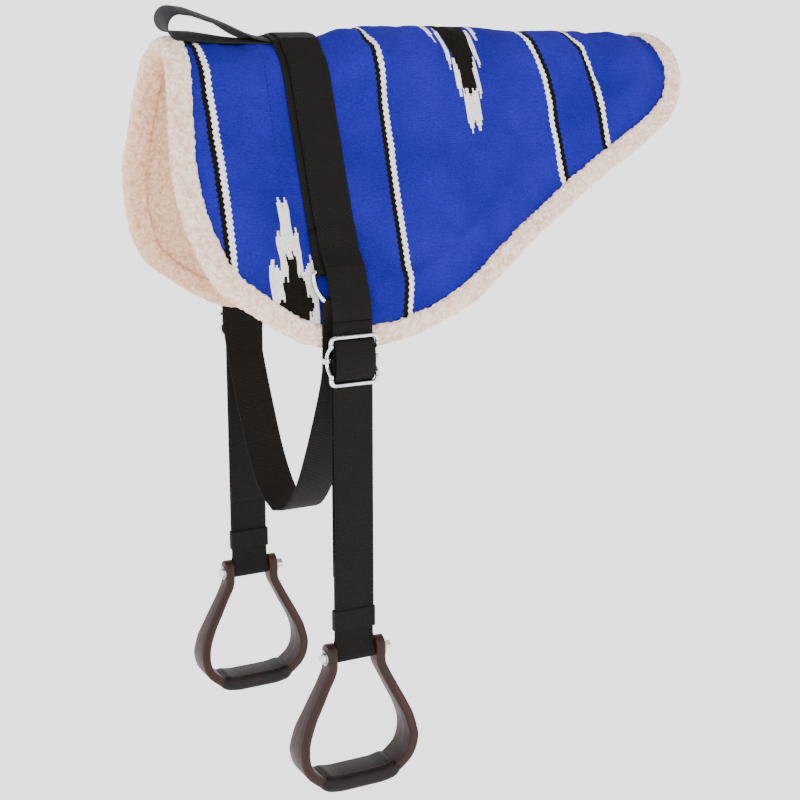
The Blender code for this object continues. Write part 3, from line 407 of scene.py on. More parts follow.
banded = add(tree, "ValToRGB", {"Fac": place}, stops=black_to_white)
in_and_out = [(0.0, "#000000"), (0.37, "#FFFFFF"), (0.69, "#000000")]
in_band = add(tree, "ValToRGB", {"Fac": place}, stops=in_and_out)
motif = add(tree, "ValToRGB", {"Fac": yarn.outputs["Fac"]}, stops=[(0.0, "#14110D"), (0.75, "#EFE8E2")])
for ramp in (banded, in_band, motif):
    ramp.color_ramp.interpolation = "CONSTANT"
in_motif = add(tree, "Math", {0: yarn.outputs["Fac"], 1: 0.25}, operation="GREATER_THAN")
striped = add(tree, "Mix", {0: in_band, 6: blue, 7: banded}, data_type="RGBA")
dyed = add(tree, "Mix", {0: in_motif, 6: striped.outputs[2], 7: motif}, data_type="RGBA")
heather = add(tree, "MapRange", {0: fibres, 1: 0.3, 2: 0.7, 3: 0.70, 4: 1.28})
colour = add(tree, "Mix", {0: 1.0, 6: dyed.outputs[2], 7: heather}, data_type="RGBA", blend_type="MULTIPLY")
ribbed = {"Vector": cut, "Scale": 105.0, "Distortion": 1.6, "Detail": 2.0, "Detail Scale": 3.0}
rib = add(tree, "TexWave", ribbed, bands_direction="Y")
height = add(tree, "Math", {0: rib.outputs[1], 1: 0.35, 2: fibres}, operation="MULTIPLY_ADD")
bump = add(tree, "Bump", {"Strength": 0.8, "Distance": 0.0012, "Height": height})
feed(shader, {"Base Color": colour.outputs[2], "Normal": bump})

cloth = woven_cover()
cover = finished_piece("woven_cover", cloth, woven_blue, "woven_blue", "pad", "blanket_cover", "felt_core")

# ----------------------------------------
# The fleece lining. Curly fleece on a knitted back, cut to the same outline and laid against the
# horse, with its pile pressed into soft clumps.


def fleece_lining():
    lining_half, rim_inset, lining_top = 0.3985, 0.006, -0.0074
    bm = flat_grid(120, 150)
    rim = [p + way * rim_inset for p, way in zip(outline, inward)]
    rim_edges = list(zip(rim, rim[1:] + rim[:1]))
    for vert in bm.verts:
        vert.co.y = vert.co.y * lining_half
        across = vert.co.y
        ends = []
        for a, b in rim_edges:
            if min(a.y, b.y) <= across < max(a.y, b.y):
                ends.append(a.x + (b.x - a.x) * (across - a.y) / (b.y - a.y))
        front, rear = (min(ends), max(ends)) if ends else (0.0, 0.01)
        vert.co.x = front + (rear - front) * (vert.co.x + 1) / 2
    for vert in second_layer(bm):
        vert.co.z = 1
    for vert in bm.verts:
        x, across, top = vert.co
        curl = noise.noise(Vector((x, across, 0)) * 130) * 0.0009
        curl += noise.noise(Vector((x, across, 4)) * 45) * 0.0006
        vert.co = over_the_back(x, across, lining_top if top else -pad_top - curl)
    bmesh.ops.recalc_face_normals(bm, faces=bm.faces[:])
    return bm


def fleece(name, pale, shade, painted_underside_shade=None):
    """Curly polyester fleece: matt and soft, with tufts about 5 mm across and painted shade in the hollows
    between. Where the horse-side attribute is 1, the last tone given is laid over it as painted shade of the
    pad's underside."""
    soft = {"Roughness": 1.0, "Sheen_Weight": 0.12, "Sheen_Roughness": 0.5, "Specular_IOR_Level": 0.05}
    material, tree, shader = new_material(name, **soft)
    place = add(tree, "TexCoord").outputs["Object"]
    bent = add(tree, "TexNoise", {"Vector": place, "Scale": 60.0, "Detail": 2.0}, normalize=True)
    curled = add(tree, "Mix", {0: 0.02, 4: place, 5: bent.outputs[1]}, data_type="VECTOR")
    tufts = add(tree, "TexVoronoi", {"Vector": curled.outputs[1], "Scale": 210.0}, feature="SMOOTH_F1")
    fine = add(tree, "TexNoise", {"Vector": place, "Scale": 700.0, "Detail": 3.0})
    mixed = add(tree, "Math", {0: tufts, 1: fine}, operation="MULTIPLY")
    # The ramp's second tone is painted shade, in the hollows between the tufts
    shown = add(tree, "ValToRGB", {"Fac": mixed}, stops=[(0.10, pale), (0.34, shade)])
    if painted_underside_shade:
        # Painted shade on the side towards the horse, where the pad's underside lies in its own shade
        side = add(tree, "Attribute", attribute_name="painted_underside_shade")
        tones = {0: side.outputs["Fac"], 6: linear("#FFFFFF"), 7: linear(painted_underside_shade)}
        painted_shade_tone = add(tree, "Mix", tones, data_type="RGBA")
        tones = {0: 1.0, 6: shown, 7: painted_shade_tone.outputs[2]}
        shown = add(tree, "Mix", tones, data_type="RGBA", blend_type="MULTIPLY").outputs[2]
    bump = add(tree, "Bump", {"Strength": 0.9, "Distance": 0.0028, "Height": mixed}, invert=True)
    feed(shader, {"Base Color": shown, "Normal": bump})
    return material


# The lining's deeper tan is partly the fleece's own colour and partly painted shade of the pad's underside
lining_fleece = fleece("lining_fleece", "#EFCBAB", "#CDA07C")
lining = finished_piece("fleece_underside", fleece_lining(), lining_fleece, "fleece", "pad", "fleece_lining")

# ----------------------------------------
# The fleece binding. One strip of thick white fleece folded round the whole edge of the pad and
# sewn through. Its face is full and rolled, and it dips a little at the seam along its inner edge.


def binding_section():
    """The rolled strip cut across, as (reach in from the edge, out), with a point about every 3 mm."""
    face, back, over = 0.0008, -pad_top - 0.0008, 0.0048
    outside = [
        (0.0262, face + 0.0004), (0.0256, face + 0.0022), (0.0225, over), (0.015, over + 0.0006),
        (0.008, over), (0.0032, over - 0.0018), (0.0003, face - 0.0035),
    ]
    outside += [(reach, -pad_top - out) for reach, out in reversed(outside)]
    inside = [(0.024, back), (0.010, back), (0.0042, back + 0.001)]
    inside += [(0.0042, -0.001), (0.010, face), (0.024, face)]
    return curve_through(outside, 2) + [Vector(p) for p in inside]


def facing_out(bm):
    """Turns the faces of a closed mesh outwards."""
    bmesh.ops.recalc_face_normals(bm, faces=bm.faces[:])
    if bm.calc_volume(signed=True) < 0:
        bmesh.ops.reverse_faces(bm, faces=bm.faces[:])


def edge_binding():
    around = []
    for i, (a, way_a) in enumerate(zip(outline, inward)):
        b, way_b = outline[(i + 1) % len(outline)], inward[(i + 1) % len(outline)]
        steps = max(1, round((b - a).length / 0.0029))
        around += [(a.lerp(b, k / steps), way_a.lerp(way_b, k / steps).normalized()) for k in range(steps)]
    section = binding_section()
    bm = flat_grid(len(around), len(section))
    painted_underside_shade = bm.verts.layers.float.new("painted_underside_shade")
    for vert in bm.verts:
        station = round((vert.co.x + 1) / 2 * len(around)) % len(around)
        corner = round((vert.co.y + 1) / 2 * len(section)) % len(section)
        point, way = around[station]
        reach, out = section[corner]
        flat = point + way * reach
        # Where this is 1, on the side towards the horse, the fleece is drawn in painted shade
        vert[painted_underside_shade] = smooth((-0.0062 - out) / 0.0085)
        vert.co = over_the_back(flat.x, flat.y, out)
    bmesh.ops.remove_doubles(bm, verts=bm.verts[:], dist=1e-6)
    facing_out(bm)
    long_edges = [e for e in bm.edges if e.calc_length() > 0.0019]
    bmesh.ops.subdivide_edges(bm, edges=long_edges, cuts=1, use_grid_fill=True)
    bm.normal_update()
    moves = []
    for vert in bm.verts:
        tuft = 1 - abs(noise.noise(vert.co * 130)) * 2.6 + noise.noise(vert.co * 300) * 0.6
        sag = noise.noise(vert.co * 26)
        moves.append(vert.normal * (0.0014 * tuft + 0.0013 * sag - 0.0006))
    for vert, move in zip(bm.verts, moves):
        vert.co += move
    return bm


# The binding's horse side is drawn in a deeper tone, as painted shade of the pad's underside
white_fleece, rolled = fleece("binding_fleece", "#FFE9D8", "#EABFA4", "#F5E3D3"), edge_binding()
binding = finished_piece("fleece_binding", rolled, white_fleece, "fleece_binding", "pad", "edge_binding")

# ----------------------------------------
# The straps over the back. Two-inch nylon webbing: the surcingle, which folds round the D rings,
# and on it the stirrups' strap, which leaves the pad at its flanks. Both are sewn through the pad.

web, thin, gap = 0.0508, 0.0020, 0.0003
web_step, web_first = thin + gap, gap + thin / 2
surcingle_set = -0.0085
ring_wire, ring_down, ring_out, ring_half, ring_deep, girth_gap = 0.0029, 0.312, 0.0065, 0.0304, 0.042, 0.0014


def flank(down, out):
    """(y, z) of a place on the flank's plane, on the off side, also past the plane's ends."""
    along = down - spine_arc
    y = spine_radius * sin(flank_turn) + along * cos(flank_turn) + out * sin(flank_turn)
    z = pad_top - spine_radius * (1 - cos(flank_turn)) - along * sin(flank_turn) + out * cos(flank_turn)
    return Vector((y, z))


def arc(centre, radius, start, end, steps):
    turns = [start + (end - start) * i / steps for i in range(steps + 1)]
    return [Vector((centre[0] + radius * cos(turn), centre[1] + radius * sin(turn))) for turn in turns]


def mitres(path):
    """The way out at each point of a flat path, long enough to keep a strip's thickness at a bend."""
    steps = [(b - a).normalized() for a, b in zip(path, path[1:])]
    ways = []
    for into, onward in zip([steps[0], *steps], [*steps, steps[-1]]):
        mean = (into + onward).normalized()
        ways.append(Vector((-mean.y, mean.x)) / max(mean.dot(onward), 0.5))
    return ways


def lengths_along(path):
    along = [0.0]
    for a, b in zip(path, path[1:]):
        along.append(along[-1] + (b - a).length)
    return along


def closer(path, reach):
    """The same path with more points, so that no two lie further apart than this."""
    fine = [path[0]]
    for a, b in zip(path, path[1:]):
        steps = max(1, int((b - a).length / reach + 0.99))
        fine += [a.lerp(b, k / steps) for k in range(1, steps + 1)]
    return fine


def both_sides(half):
    return [Vector((-p.x, p.y)) for p in reversed(half[1:])] + half


def lay_map(bm, layer, spots):
    """Each face corner's place on a piece's own map, from its vertex."""
    for face in bm.faces:
        for loop in face.loops:
            loop[layer].uv = spots[loop.vert]


def strip(path, place_across=None, reach=0.006, columns=12):
    """Webbing along a (y, z) path, as two faces with soft selvages. place_across moves each point last."""
    path = closer([Vector(p) for p in path], reach)
    ways = mitres(path)
    length = lengths_along(path)
    bm = flat_grid(columns, len(path) - 1)
    strap = bm.loops.layers.uv.new("strap")
    for vert in second_layer(bm):
        vert.co.z = 1
    where = {}
    for vert in bm.verts:
        share, row = vert.co.x, round((vert.co.y + 1) / 2 * (len(path) - 1))
        share = share * (2 - abs(share)) if abs(share) < 1 else share
        thick = thin / 2 * (1 - 0.55 * max(abs(share) - 0.9, 0) / 0.1)
        y, z = path[row] + ways[row] * (thick if vert.co.z > 0 else -thick)
        where[vert] = (web / 2 * share, length[row])
        vert.co = (web / 2 * share, y, z)
        if place_across:
            vert.co = place_across(vert.co, share, path[row])
    lay_map(bm, strap, where)
    facing_out(bm)
    return bm


def webbing(name, dark, light):
    """Woven nylon webbing: cross ribs, lighter on each crown as a painted highlight and darker in each valley
    as painted shade, and a smooth selvage. The ribs are drawn 2.6 mm apart, as they show from where the
    photograph was taken."""
    material, tree, shader = new_material(name, Roughness=0.7, Specular_IOR_Level=0.12)
    strap = add(tree, "UVMap", uv_map="strap")
    ribbed = {"Vector": strap, "Scale": 121.0, "Distortion": 0.5, "Detail": 1.0, "Detail Scale": 2.0}
    ribs = add(tree, "TexWave", ribbed, bands_direction="Y")
    yarns = add(tree, "TexWave", {"Vector": strap, "Scale": 210.0}, bands_direction="X")
    dust = add(tree, "TexNoise", {"Vector": strap, "Scale": 35.0, "Detail": 5.0})
    weave = add(tree, "Math", {0: yarns.outputs[1], 1: 0.25, 2: ribs.outputs[1]}, operation="MULTIPLY_ADD")
    dust_and_rib_shading = add(tree, "Math", {0: dust, 1: 0.5, 2: weave}, operation="MULTIPLY_ADD")
    # The ribs' relief tints the webbing: lighter crowns are a painted highlight and darker valleys painted
    # shade, with dust in blotches over them
    tint = add(tree, "ValToRGB", {"Fac": dust_and_rib_shading}, stops=[(0.15, dark), (1.0, light)])
    bump = add(tree, "Bump", {"Strength": 0.6, "Distance": 0.0006, "Height": weave})
    feed(shader, {"Base Color": tint, "Normal": bump})
    return material


black_webbing = webbing("black_nylon_webbing", "#040403", "#141210")


def black_strap(name, strap, *body_and_solids):
    return finished_piece(name, strap, black_webbing, "black_webbing", *body_and_solids)


def on_pad(points):
    return [over_the_back(0.0, down, out).yz for down, out in points]


def on_surcingle_line(place, share, middle):
    return Vector((place.x + surcingle_set, place.y, place.z))


# Both straps rise over the handle's two layers on the spine, and the surcingle's end is sewn on itself
over_handle = (0.0, 0.0125, 0.0251, 0.0266)
sewn_from, sewn_to = 0.262, 0.290
fold_radius = ring_wire + gap + thin / 2
points = [(down, web_first + 2 * web_step + gap) for down in over_handle]
points += [(0.036 + 0.0131 * i, web_first) for i in range(18)] + [(sewn_from, web_first), (sewn_to, web_first)]
half = on_pad(points)
half += on_pad(arc((ring_down, ring_out), fold_radius, radians(-90), radians(120), 14))
half += on_pad([(sewn_to, web_first + web_step), (sewn_from, web_first + web_step)])
black_strap("surcingle", strip(both_sides(half), on_surcingle_line), "pad", "surcingle_webbing")

flat_out, doubled = web_first + web_step, web_first + 2 * web_step
fold_over = ring_wire + thin + web_step + thin / 2
# Past the ring the strap runs clear of the girth's end, and then straight down from its hinge line
clear, clear_from, clear_to = ring_out + ring_wire + girth_gap + thin + 0.0012 + thin / 2, 0.3358, 0.3569
strap_out, hinge_down = 0.17281, 0.29996
points = [(down, web_first + 3 * web_step + gap) for down in over_handle]
points += [(0.0376 + 0.0131 * i, flat_out) for i in range(16)] + [(sewn_from - 3 * web_step, flat_out)]
points += [(sewn_from - web_step, doubled), (sewn_to - web_step, doubled)]
half = on_pad(points) + on_pad(arc((ring_down, ring_out), fold_over, radians(120), radians(90), 6))
half += [flank(clear_from, clear), flank(clear_to, clear), Vector((strap_out, -hinge_down))]
black_strap("stirrup_strap_over_back", strip(both_sides(half)), "pad", "over_back_stirrup_strap")

# ----------------------------------------
# The grab handle. A loop of grey webbing doubled back over the withers, its two ends sewn under the
# surcingle, arched stiffly so that a hand fits between its strands.

first, second = web_first, web_first + web_step
handle_reach, handle_fold, handle_lift, handle_end = 0.161, 0.0142, 0.0100, 0.014
handle_top = handle_lift + 2 * handle_fold
reach = handle_reach - handle_fold
lower_shares = ((-0.38, 0.02), (-0.55, 0.26), (-0.71, 0.60), (-0.85, 0.90))
upper_shares = (
    (-0.90, 0.95), (-0.72, 0.70), (-0.59, 0.50), (-0.46, 0.24), (-0.37, 0.10), (-0.30, 0.03), (-0.24, 0.0),
)
lower = [(s * reach, first + r * (handle_lift - first)) for s, r in lower_shares]
upper = [(s * reach, second + r * (handle_top - second)) for s, r in upper_shares]
handle_path = [Vector((handle_end, first))] + curve_through(lower, 4)
handle_path += arc((-reach, handle_lift + handle_fold), handle_fold, radians(270), radians(90), 16)
handle_path += curve_through(upper, 4) + [Vector((handle_end, second))]


def roll_handle(place, share, middle):
    """The strip lies in the (x, out) plane here, and is bent over the spine and rolled to the near side."""
    x, out = place.y, place.z
    point = over_the_back(x, place.x * spine_radius / (spine_radius + middle.y), out)
    axis = Vector((0, 0, pad_top + middle.y))
    roll = radians(11) * smooth((-middle.x - 0.060) / 0.060)
    return axis + Matrix.Rotation(roll, 3, "X") @ (point - axis)


grey_webbing = webbing("grey_nylon_webbing", "#0F0F10", "#2C2C2E")
handle_strap = strip(handle_path, roll_handle, reach=0.005, columns=16)
finished_piece("grab_strap", handle_strap, grey_webbing, "handle_webbing", "pad", "grab_handle")

# ----------------------------------------
# The D rings. Bent and welded steel wire, chrome plated, lying along the flanks in the surcingle's folds.

# Chrome plate: bright and mirror-like, with a faint haze of polishing marks
chrome, tree, shader = new_material("chrome_plate", Metallic=1.0, Roughness=0.10)
place = add(tree, "TexCoord")
haze = add(tree, "TexNoise", {"Vector": place.outputs["Object"], "Scale": 90.0, "Detail": 4.0})
tint = add(tree, "ValToRGB", {"Fac": haze}, stops=[(0.35, "#C9CBCE"), (0.65, "#EDEEF0")])
rough = add(tree, "MapRange", {0: haze, 1: 0.3, 2: 0.7, 3: 0.06, 4: 0.20})
feed(shader, {"Base Color": tint, "Roughness": rough})


def bent_wire(points, radius):
    """A closed ring of round wire through the points, as a mesh."""
    curve = bpy.data.curves.new("wire", "CURVE")
    curve.dimensions = "3D"
    curve.bevel_depth = radius
    curve.bevel_resolution = 6
    spline = curve.splines.new("POLY")
    spline.points.add(len(points) - 1)
    for point, at in zip(spline.points, points):
        point.co = (*at, 1)
    spline.use_cyclic_u = True
    shape = in_scene("wire", curve)
    bpy.context.view_layer.update()
    mesh = bpy.data.meshes.new_from_object(shape.evaluated_get(bpy.context.evaluated_depsgraph_get()))
    bpy.data.objects.remove(shape)
    bm = bmesh.new()
    bm.from_mesh(mesh)
    return bm


sides = (("near", -1), ("off", 1))
ring_centre = ring_down + ring_deep - ring_half
ring_bend = 0.0045
corner = (ring_half - ring_bend, ring_half - ring_deep + ring_bend)
ring = arc(corner, ring_bend, radians(-90), 0.0, 6) + arc((0, 0), ring_half, 0.0, pi, 40)[1:]
ring += arc((-corner[0], corner[1]), ring_bend, pi, radians(270), 6)
for prefix, side in sides:
    path = []
    for x, down in ring:
        y, z = flank(ring_centre + down, ring_out)
        path.append((surcingle_set + x, side * y, z))
    wire = bent_wire(path, ring_wire)
    finished_piece(f"{prefix}_ring", wire, chrome, "chrome", "pad", f"{prefix}_d_ring")

# ----------------------------------------
# The girth. The same webbing under the belly, its ends looped round the D rings' curved wires, where
# it bunches to their width, and sewn back on themselves.

pad_half, binding_wide, binding_rise, girth_drop = 0.405, 0.026, 0.0046, 0.237
tail_from, tail, bunched_to, spread_over = 0.018, 0.006, 0.037, 0.060
hem, lip = over_the_back(0, pad_half, 0), over_the_back(0, pad_half - binding_wide, 0)
girth_out = hem.y + binding_rise + gap + thin / 2
loop_radius = ring_wire + girth_gap + thin / 2
loop_top = ring_centre + ring_half - ring_wire - 0.0007 - thin / 2 + loop_radius
sag_shares = ((0, 1), (0.25, 0.94), (0.48, 0.78), (0.675, 0.56), (0.86, 0.315), (0.985, 0.115))
under = [(share * girth_out, hem.z - drop * girth_drop) for share, drop in sag_shares]
under.append((girth_out, hem.z))
round_ring = arc((loop_top, ring_out), loop_radius, radians(90), radians(270), 16)
over_ring = [flank(down, out) for down, out in round_ring]
ends = Vector((girth_out, lip.z + 0.002))
into = (ends - over_ring[0]).normalized()
sewn_end = over_ring[0] + into * tail_from + Vector((into.y, -into.x)) * web_step
half = curve_through(under, 10) + [ends] + over_ring + [sewn_end, sewn_end + into * tail]
ring_place = flank(ring_centre, ring_out)
down_way = Vector((cos(flank_turn), -sin(flank_turn)))


def bunched(place, share, middle):
    """The webbing gathered along the ring's curved wire, and flat again 60 mm below it."""
    side = -1 if place.y < 0 else 1
    drop = (Vector((abs(place.y), place.z)) - ring_place).dot(down_way)
    near_ring = min(drop, bunched_to)
    turn = radians(42) * share
    flat = smooth((drop - bunched_to) / spread_over)
    lift = down_way * near_ring * (cos(turn) - 1) * (1 - flat)
    lift.x *= 1 - smooth((drop - bunched_to) / 0.012)
    x = near_ring * sin(turn) * (1 - flat) + web / 2 * share * flat
    return Vector((surcingle_set + x, place.y + side * lift.x, place.z + lift.y))


black_strap("girth_webbing", strip(both_sides(half), bunched), "girth", "girth_strap")

# ----------------------------------------
# The seams. Heavy bonded thread in lockstitch: along both edges of the straps over the back, boxed at
# the folds round the D rings, and one quilting line through the pad in front of the surcingle.


def stitched(line, step=0.0062, thread=0.00045, share=0.36):
    """One short bar of thread for each stitch along a line of places, over twice this share of its step."""
    line = closer([Vector(p) for p in line], step)
    bm = bmesh.new()
    for a, b in zip(line, line[1:]):
        turn = (b - a).normalized().to_track_quat("Z", "Y").to_matrix().to_4x4()
        long = Matrix.Diagonal((1, 1, (b - a).length * share / thread, 1))
        spot = Matrix.Translation((a + b) / 2) @ turn @ long
        bmesh.ops.create_icosphere(bm, subdivisions=1, radius=thread, matrix=spot)
    return bm


def seam(name, lines, material, slot, body, **sewn):
    whole = bmesh.new()
    for line in lines:
        mesh = new_mesh("seam", stitched(line, **sewn))
        whole.from_mesh(mesh)
        bpy.data.meshes.remove(mesh)
    finished_piece(name, whole, material, slot, body)


def bonded_thread(name, colour, rough, gloss):
    """Bonded nylon thread: one dyed colour, slightly waxed, too thin for a pattern to show."""
    return new_material(name, Roughness=rough, Base_Color=linear(colour), Specular_IOR_Level=gloss)[0]


black_thread = bonded_thread("black_thread", "#121110", 0.5, 0.2)
blue_thread = bonded_thread("blue_thread", "#12155E", 0.6, 0.2)
on_top = thin / 2 + 0.0002
seam_in, box_half, box_top, box_foot = 0.0218, 0.0205, 0.262, 0.284
box = [(-box_half, box_top), (box_half, box_top), (box_half, box_foot), (-box_half, box_foot)]
box += [(-box_half, box_top), (box_half, box_foot)]
lines = []
for way in (-1, 1):
    for x in (-seam_in, seam_in):
        lines.append([over_the_back(x, way * down / 1000, flat_out + on_top) for down in range(46, 252, 6)])
    lines.append([over_the_back(x, way * down, doubled + on_top) for x, down in box])
seam("strap_seams", lines, black_thread, "black_webbing", "pad")
lines = []
for way in (-1, 1):
    line = [(quilting_line(down / 1000), way * down / 1000) for down in range(30, 236, 6)]
    rises = [crown(x, across, edge) for (x, across), edge in zip(line, from_edge(line))]
    lines.append([over_the_back(x, across, rise + 0.0003) for (x, across), rise in zip(line, rises)])
seam("quilting_seam", lines, blue_thread, "woven_blue", "pad")

# ----------------------------------------
# The stirrup leathers of webbing, one on each side. The strap hangs from the pad, turns round the
# stirrup's bolt, comes up behind and is sewn round the middle bar of a wire slide, which adjusts it.

turn_front, turn_back = strap_out - web_step, strap_out - 2 * web_step
return_out = turn_back - web_step
strap_long = 0.414
bolt_out, bolt_down = (turn_front + turn_back) / 2, hinge_down + strap_long
turn_top, lap_end, return_end = 0.123 - bolt_down, 0.0345 - bolt_down, 0.101 - bolt_down
bar_radius = 0.0024
bar_wrap = bar_radius + gap + thin / 2
bar_out = strap_out - thin - gap - bar_wrap
slide_top, slide_long = 0.015, 0.062
bar_down = hinge_down + slide_top + slide_long / 2
slide_wire, slide_half = 0.00275, 0.02975
slide_out = strap_out + thin / 2 + gap + slide_wire
sleeve_wrap = 0.0064 + gap + thin / 2
window_half, bulge_out, lap_half, blend_foot = 0.0246, 0.0074, 0.029, -0.6

for prefix, side in sides:

    def strap_along(path, **cut):
        return strip(path, lambda place, share, middle: Vector((place.x, side * place.y, place.z)), **cut)

    strap, carrier, slide = f"{prefix}_strap", f"{prefix}_carrier", f"{prefix}_slide"
    path = [(strap_out, -hinge_down), (strap_out, -bar_down)]
    upper_strap = black_strap(f"{prefix}_strap_upper", strap_along(path))
    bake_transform(upper_strap)
    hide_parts(f"{prefix}_hanging_strap")
    path = [(strap_out, -bar_down), (strap_out, lap_end)]
    lower_strap = black_strap(f"{prefix}_strap_lower", strap_along(path))
    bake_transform(lower_strap)
    waist = 3 * sleeve_wrap - bolt_down
    path = [(turn_front, turn_top), (turn_front, waist)]
    path += arc((bolt_out, -bolt_down), sleeve_wrap, radians(18), radians(-198), 24)
    path += [(turn_back, waist), (turn_back, turn_top)]
    black_strap(f"{prefix}_strap_bight", strap_along(path), carrier, f"{prefix}_strap_turn")
    waist = -bar_down - bar_wrap * 3
    path = [(turn_back, -bar_down - lap_half), (turn_back, waist)]
    path += arc((bar_out, -bar_down), bar_wrap, radians(-50), radians(230), 20)
    path += [(return_out, waist), (return_out, return_end)]
    black_strap(f"{prefix}_strap_back", strap_along(path), slide, f"{prefix}_strap_return")
    # Webbing that bulges out through the slide's window over the middle bar
    top, foot = window_half - bar_down, -window_half - bar_down
    bulge = []
    for k in range(15):
        out = strap_out + web_step + bulge_out * sin(pi * k / 14) ** 0.6
        bulge.append((out, top + (foot - top) * k / 14))
    black_strap(f"{prefix}_strap_in_slide", strap_along(bulge, reach=0.004), slide)

# ----------------------------------------
# The slides. Bent chrome wire, with side rails cranked back to two round bosses that hold the middle
# bar, and the keepers, each a closed band of webbing that gathers the strap's layers over the stirrup.


def finish_solid(node, material):
    """A plain CAD solid, shown in this finish."""
    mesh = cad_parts[node].data
    mesh.materials.clear()
    mesh.materials.append(material)


def round_box(wide, deep, edge, steps):
    """The four rounded corners of a rectangle with these half widths, each as points."""
    corners = []
    for sx, sy, start in ((1, 1, 0), (-1, 1, 90), (-1, -1, 180), (1, -1, 270)):
        middle = (sx * (wide - edge), sy * (deep - edge))
        corners.append(arc(middle, edge, radians(start), radians(start + 90), steps))
    return corners


slide_bend, boss_radius = 0.0055, 0.0042
keeper_low, keeper_tall, keeper_bend = 0.033 - bolt_down, 0.025, 0.002
for prefix, side in sides:
    top = -hinge_down - slide_top - slide_wire
    foot = top - slide_long + 2 * slide_wire
    corner = slide_half - slide_bend
    rail = [(x, slide_out, z) for x, z in arc((corner, top - slide_bend), slide_bend, pi / 2, 0.0, 8)]
    # (height over the middle bar, out): the rail is cranked back beside the bar, and the same below it
    cranked = []
    for up, out in ((0.019, slide_out), (0.017, slide_out), (0.0067, bar_out)):
        cranked.append((slide_half, out, up - bar_down))
    cranked += [(x, out, -2 * bar_down - z) for x, out, z in reversed(cranked)]
    rail += [tuple(p) for p in curve_through(cranked, 4)]
    rail += [(x, slide_out, z) for x, z in arc((corner, foot + slide_bend), slide_bend, 0.0, -pi / 2, 8)]
    path = [(x, side * y, z) for x, y, z in rail + [(-x, y, z) for x, y, z in reversed(rail)]]
    bm = bent_wire(path, slide_wire)
    for end in (-1, 1):
        boss = Matrix.Translation((end * slide_half, side * bar_out, -bar_down))
        bmesh.ops.create_uvsphere(bm, u_segments=24, v_segments=16, radius=boss_radius, matrix=boss)
    finished_piece(f"{prefix}_slide_wire", bm, chrome, "chrome", f"{prefix}_slide", f"{prefix}_slide_frame")
    finish_solid(f"{prefix}_slide_bar", chrome)

    low, high = return_out - thin / 2 - gap, strap_out + thin / 2 + gap
    middle = (high + low) / 2
    band = sum(round_box(web / 2 + 0.0008 + thin / 2, (high - low) / 2 + thin / 2, keeper_bend, 6), [])
    count = len(band)
    bm = flat_grid(count, 10)
    strap = bm.loops.layers.uv.new("strap")
    bmesh.ops.recalc_face_normals(bm, faces=bm.faces[:])
    around = lengths_along(band + band[:1])
    spots = {}
    for vert in bm.verts:
        k, level = round((vert.co.x + 1) / 2 * count), (vert.co.y + 1) / 2
        spots[vert] = (level * keeper_tall, around[k])
        x, y = band[k % count]
        vert.co = (x, side * (middle + y), keeper_low + level * keeper_tall)
    lay_map(bm, strap, spots)
    bmesh.ops.remove_doubles(bm, verts=bm.verts[:], dist=1e-6)
    bmesh.ops.recalc_face_normals(bm, faces=bm.faces[:])
    bmesh.ops.solidify(bm, geom=bm.faces[:], thickness=thin / 2)
    keeper = f"{prefix}_keeper"
    finished_piece(keeper, bm, black_webbing, "black_webbing", keeper, f"{prefix}_keeper_band", angle=40)

# ----------------------------------------
# The stirrups. Steam-bent hardwood, stained dark and oiled, with rounded edges and two ears for the
# bolt. Its tread is wrapped in padded leather, stitched round the top and laced tight underneath.

stirrup_half, stirrup_drop, wood_thick, stirrup_depth = 0.080, 0.168, 0.012, 0.042
side_shares = (
    (0.481, 0.0), (0.481, 0.055), (0.498, 0.105), (0.580, 0.187), (0.710, 0.310), (0.835, 0.426),
    (0.945, 0.548), (1.0, 0.675), (0.985, 0.765), (0.925, 0.842), (0.815, 0.905), (0.613, 0.972), (0.33, 1.0),
    (0.0, 1.0),
)
depth_shares = ((0.0, 0.57), (0.19, 0.52), (0.38, 0.61), (0.57, 0.80), (0.72, 0.97), (1.0, 1.0))
ear_top, tread_half, leather_thick, pillow_high = 0.017, 0.053, 0.0036, 0.0018


def depth_at(share):
    for (a, low), (b, high) in zip(depth_shares, depth_shares[1:]):
        if share <= b:
            return stirrup_depth * (low + (high - low) * smooth((share - a) / (b - a)))
    return stirrup_depth


def stirrup_stations(steps=5):
    """(middle, way out, depth) down one side of the wood, from the top of the ear to the tread's middle."""
    outer = curve_through([(x * stirrup_half, -z * stirrup_drop) for x, z in side_shares], steps)
    for point in outer:
        point.y = max(point.y, -stirrup_drop)
    ways = [way.normalized() for way in mitres([*outer, Vector((-outer[-2].x, outer[-2].y))])[:-1]]
    ear_middle = stirrup_half * side_shares[0][0] - wood_thick / 2
    radius = stirrup_depth * depth_shares[0][1] / 2
    stations = []
    for turn in (86, 74, 60, 46, 32, 18, 6):
        height = ear_top - radius + radius * sin(radians(turn))
        stations.append((Vector((ear_middle, height)), Vector((1, 0)), 2 * radius * cos(radians(turn))))
    for point, way in zip(outer, ways):
        stations.append((point - way * wood_thick / 2, way, depth_at(-point.y / stirrup_drop)))
    return stations


def rounded(thick, wide, edge, flats=0):
    """A rectangle with rounded corners, as points round it, with this many more along each flat."""
    corners = round_box(thick, wide, min(edge, thick * 0.95, wide * 0.9), 3)
    points = []
    for corner, onward in zip(corners, corners[1:] + corners[:1]):
        points += corner + [corner[-1].lerp(onward[0], k / (flats + 1)) for k in range(1, flats + 1)]
    return points


def both_halves(stations):
    return stations + [(Vector((-m.x, m.y)), Vector((-w.x, w.y)), d) for m, w, d in reversed(stations[:-1])]


def padding_at(stations, k, deep, top):
    """How far the padded leather stands over the wood at station k. It thins out towards its two ends."""
    full = smooth(0.25 + min(k, len(stations) - 1 - k) / 12)
    pillow = pillow_high * max(0.0, 1 - (2 * deep / stations[k][2]) ** 2) if top else 0.0
    return (leather_thick + pillow) * full


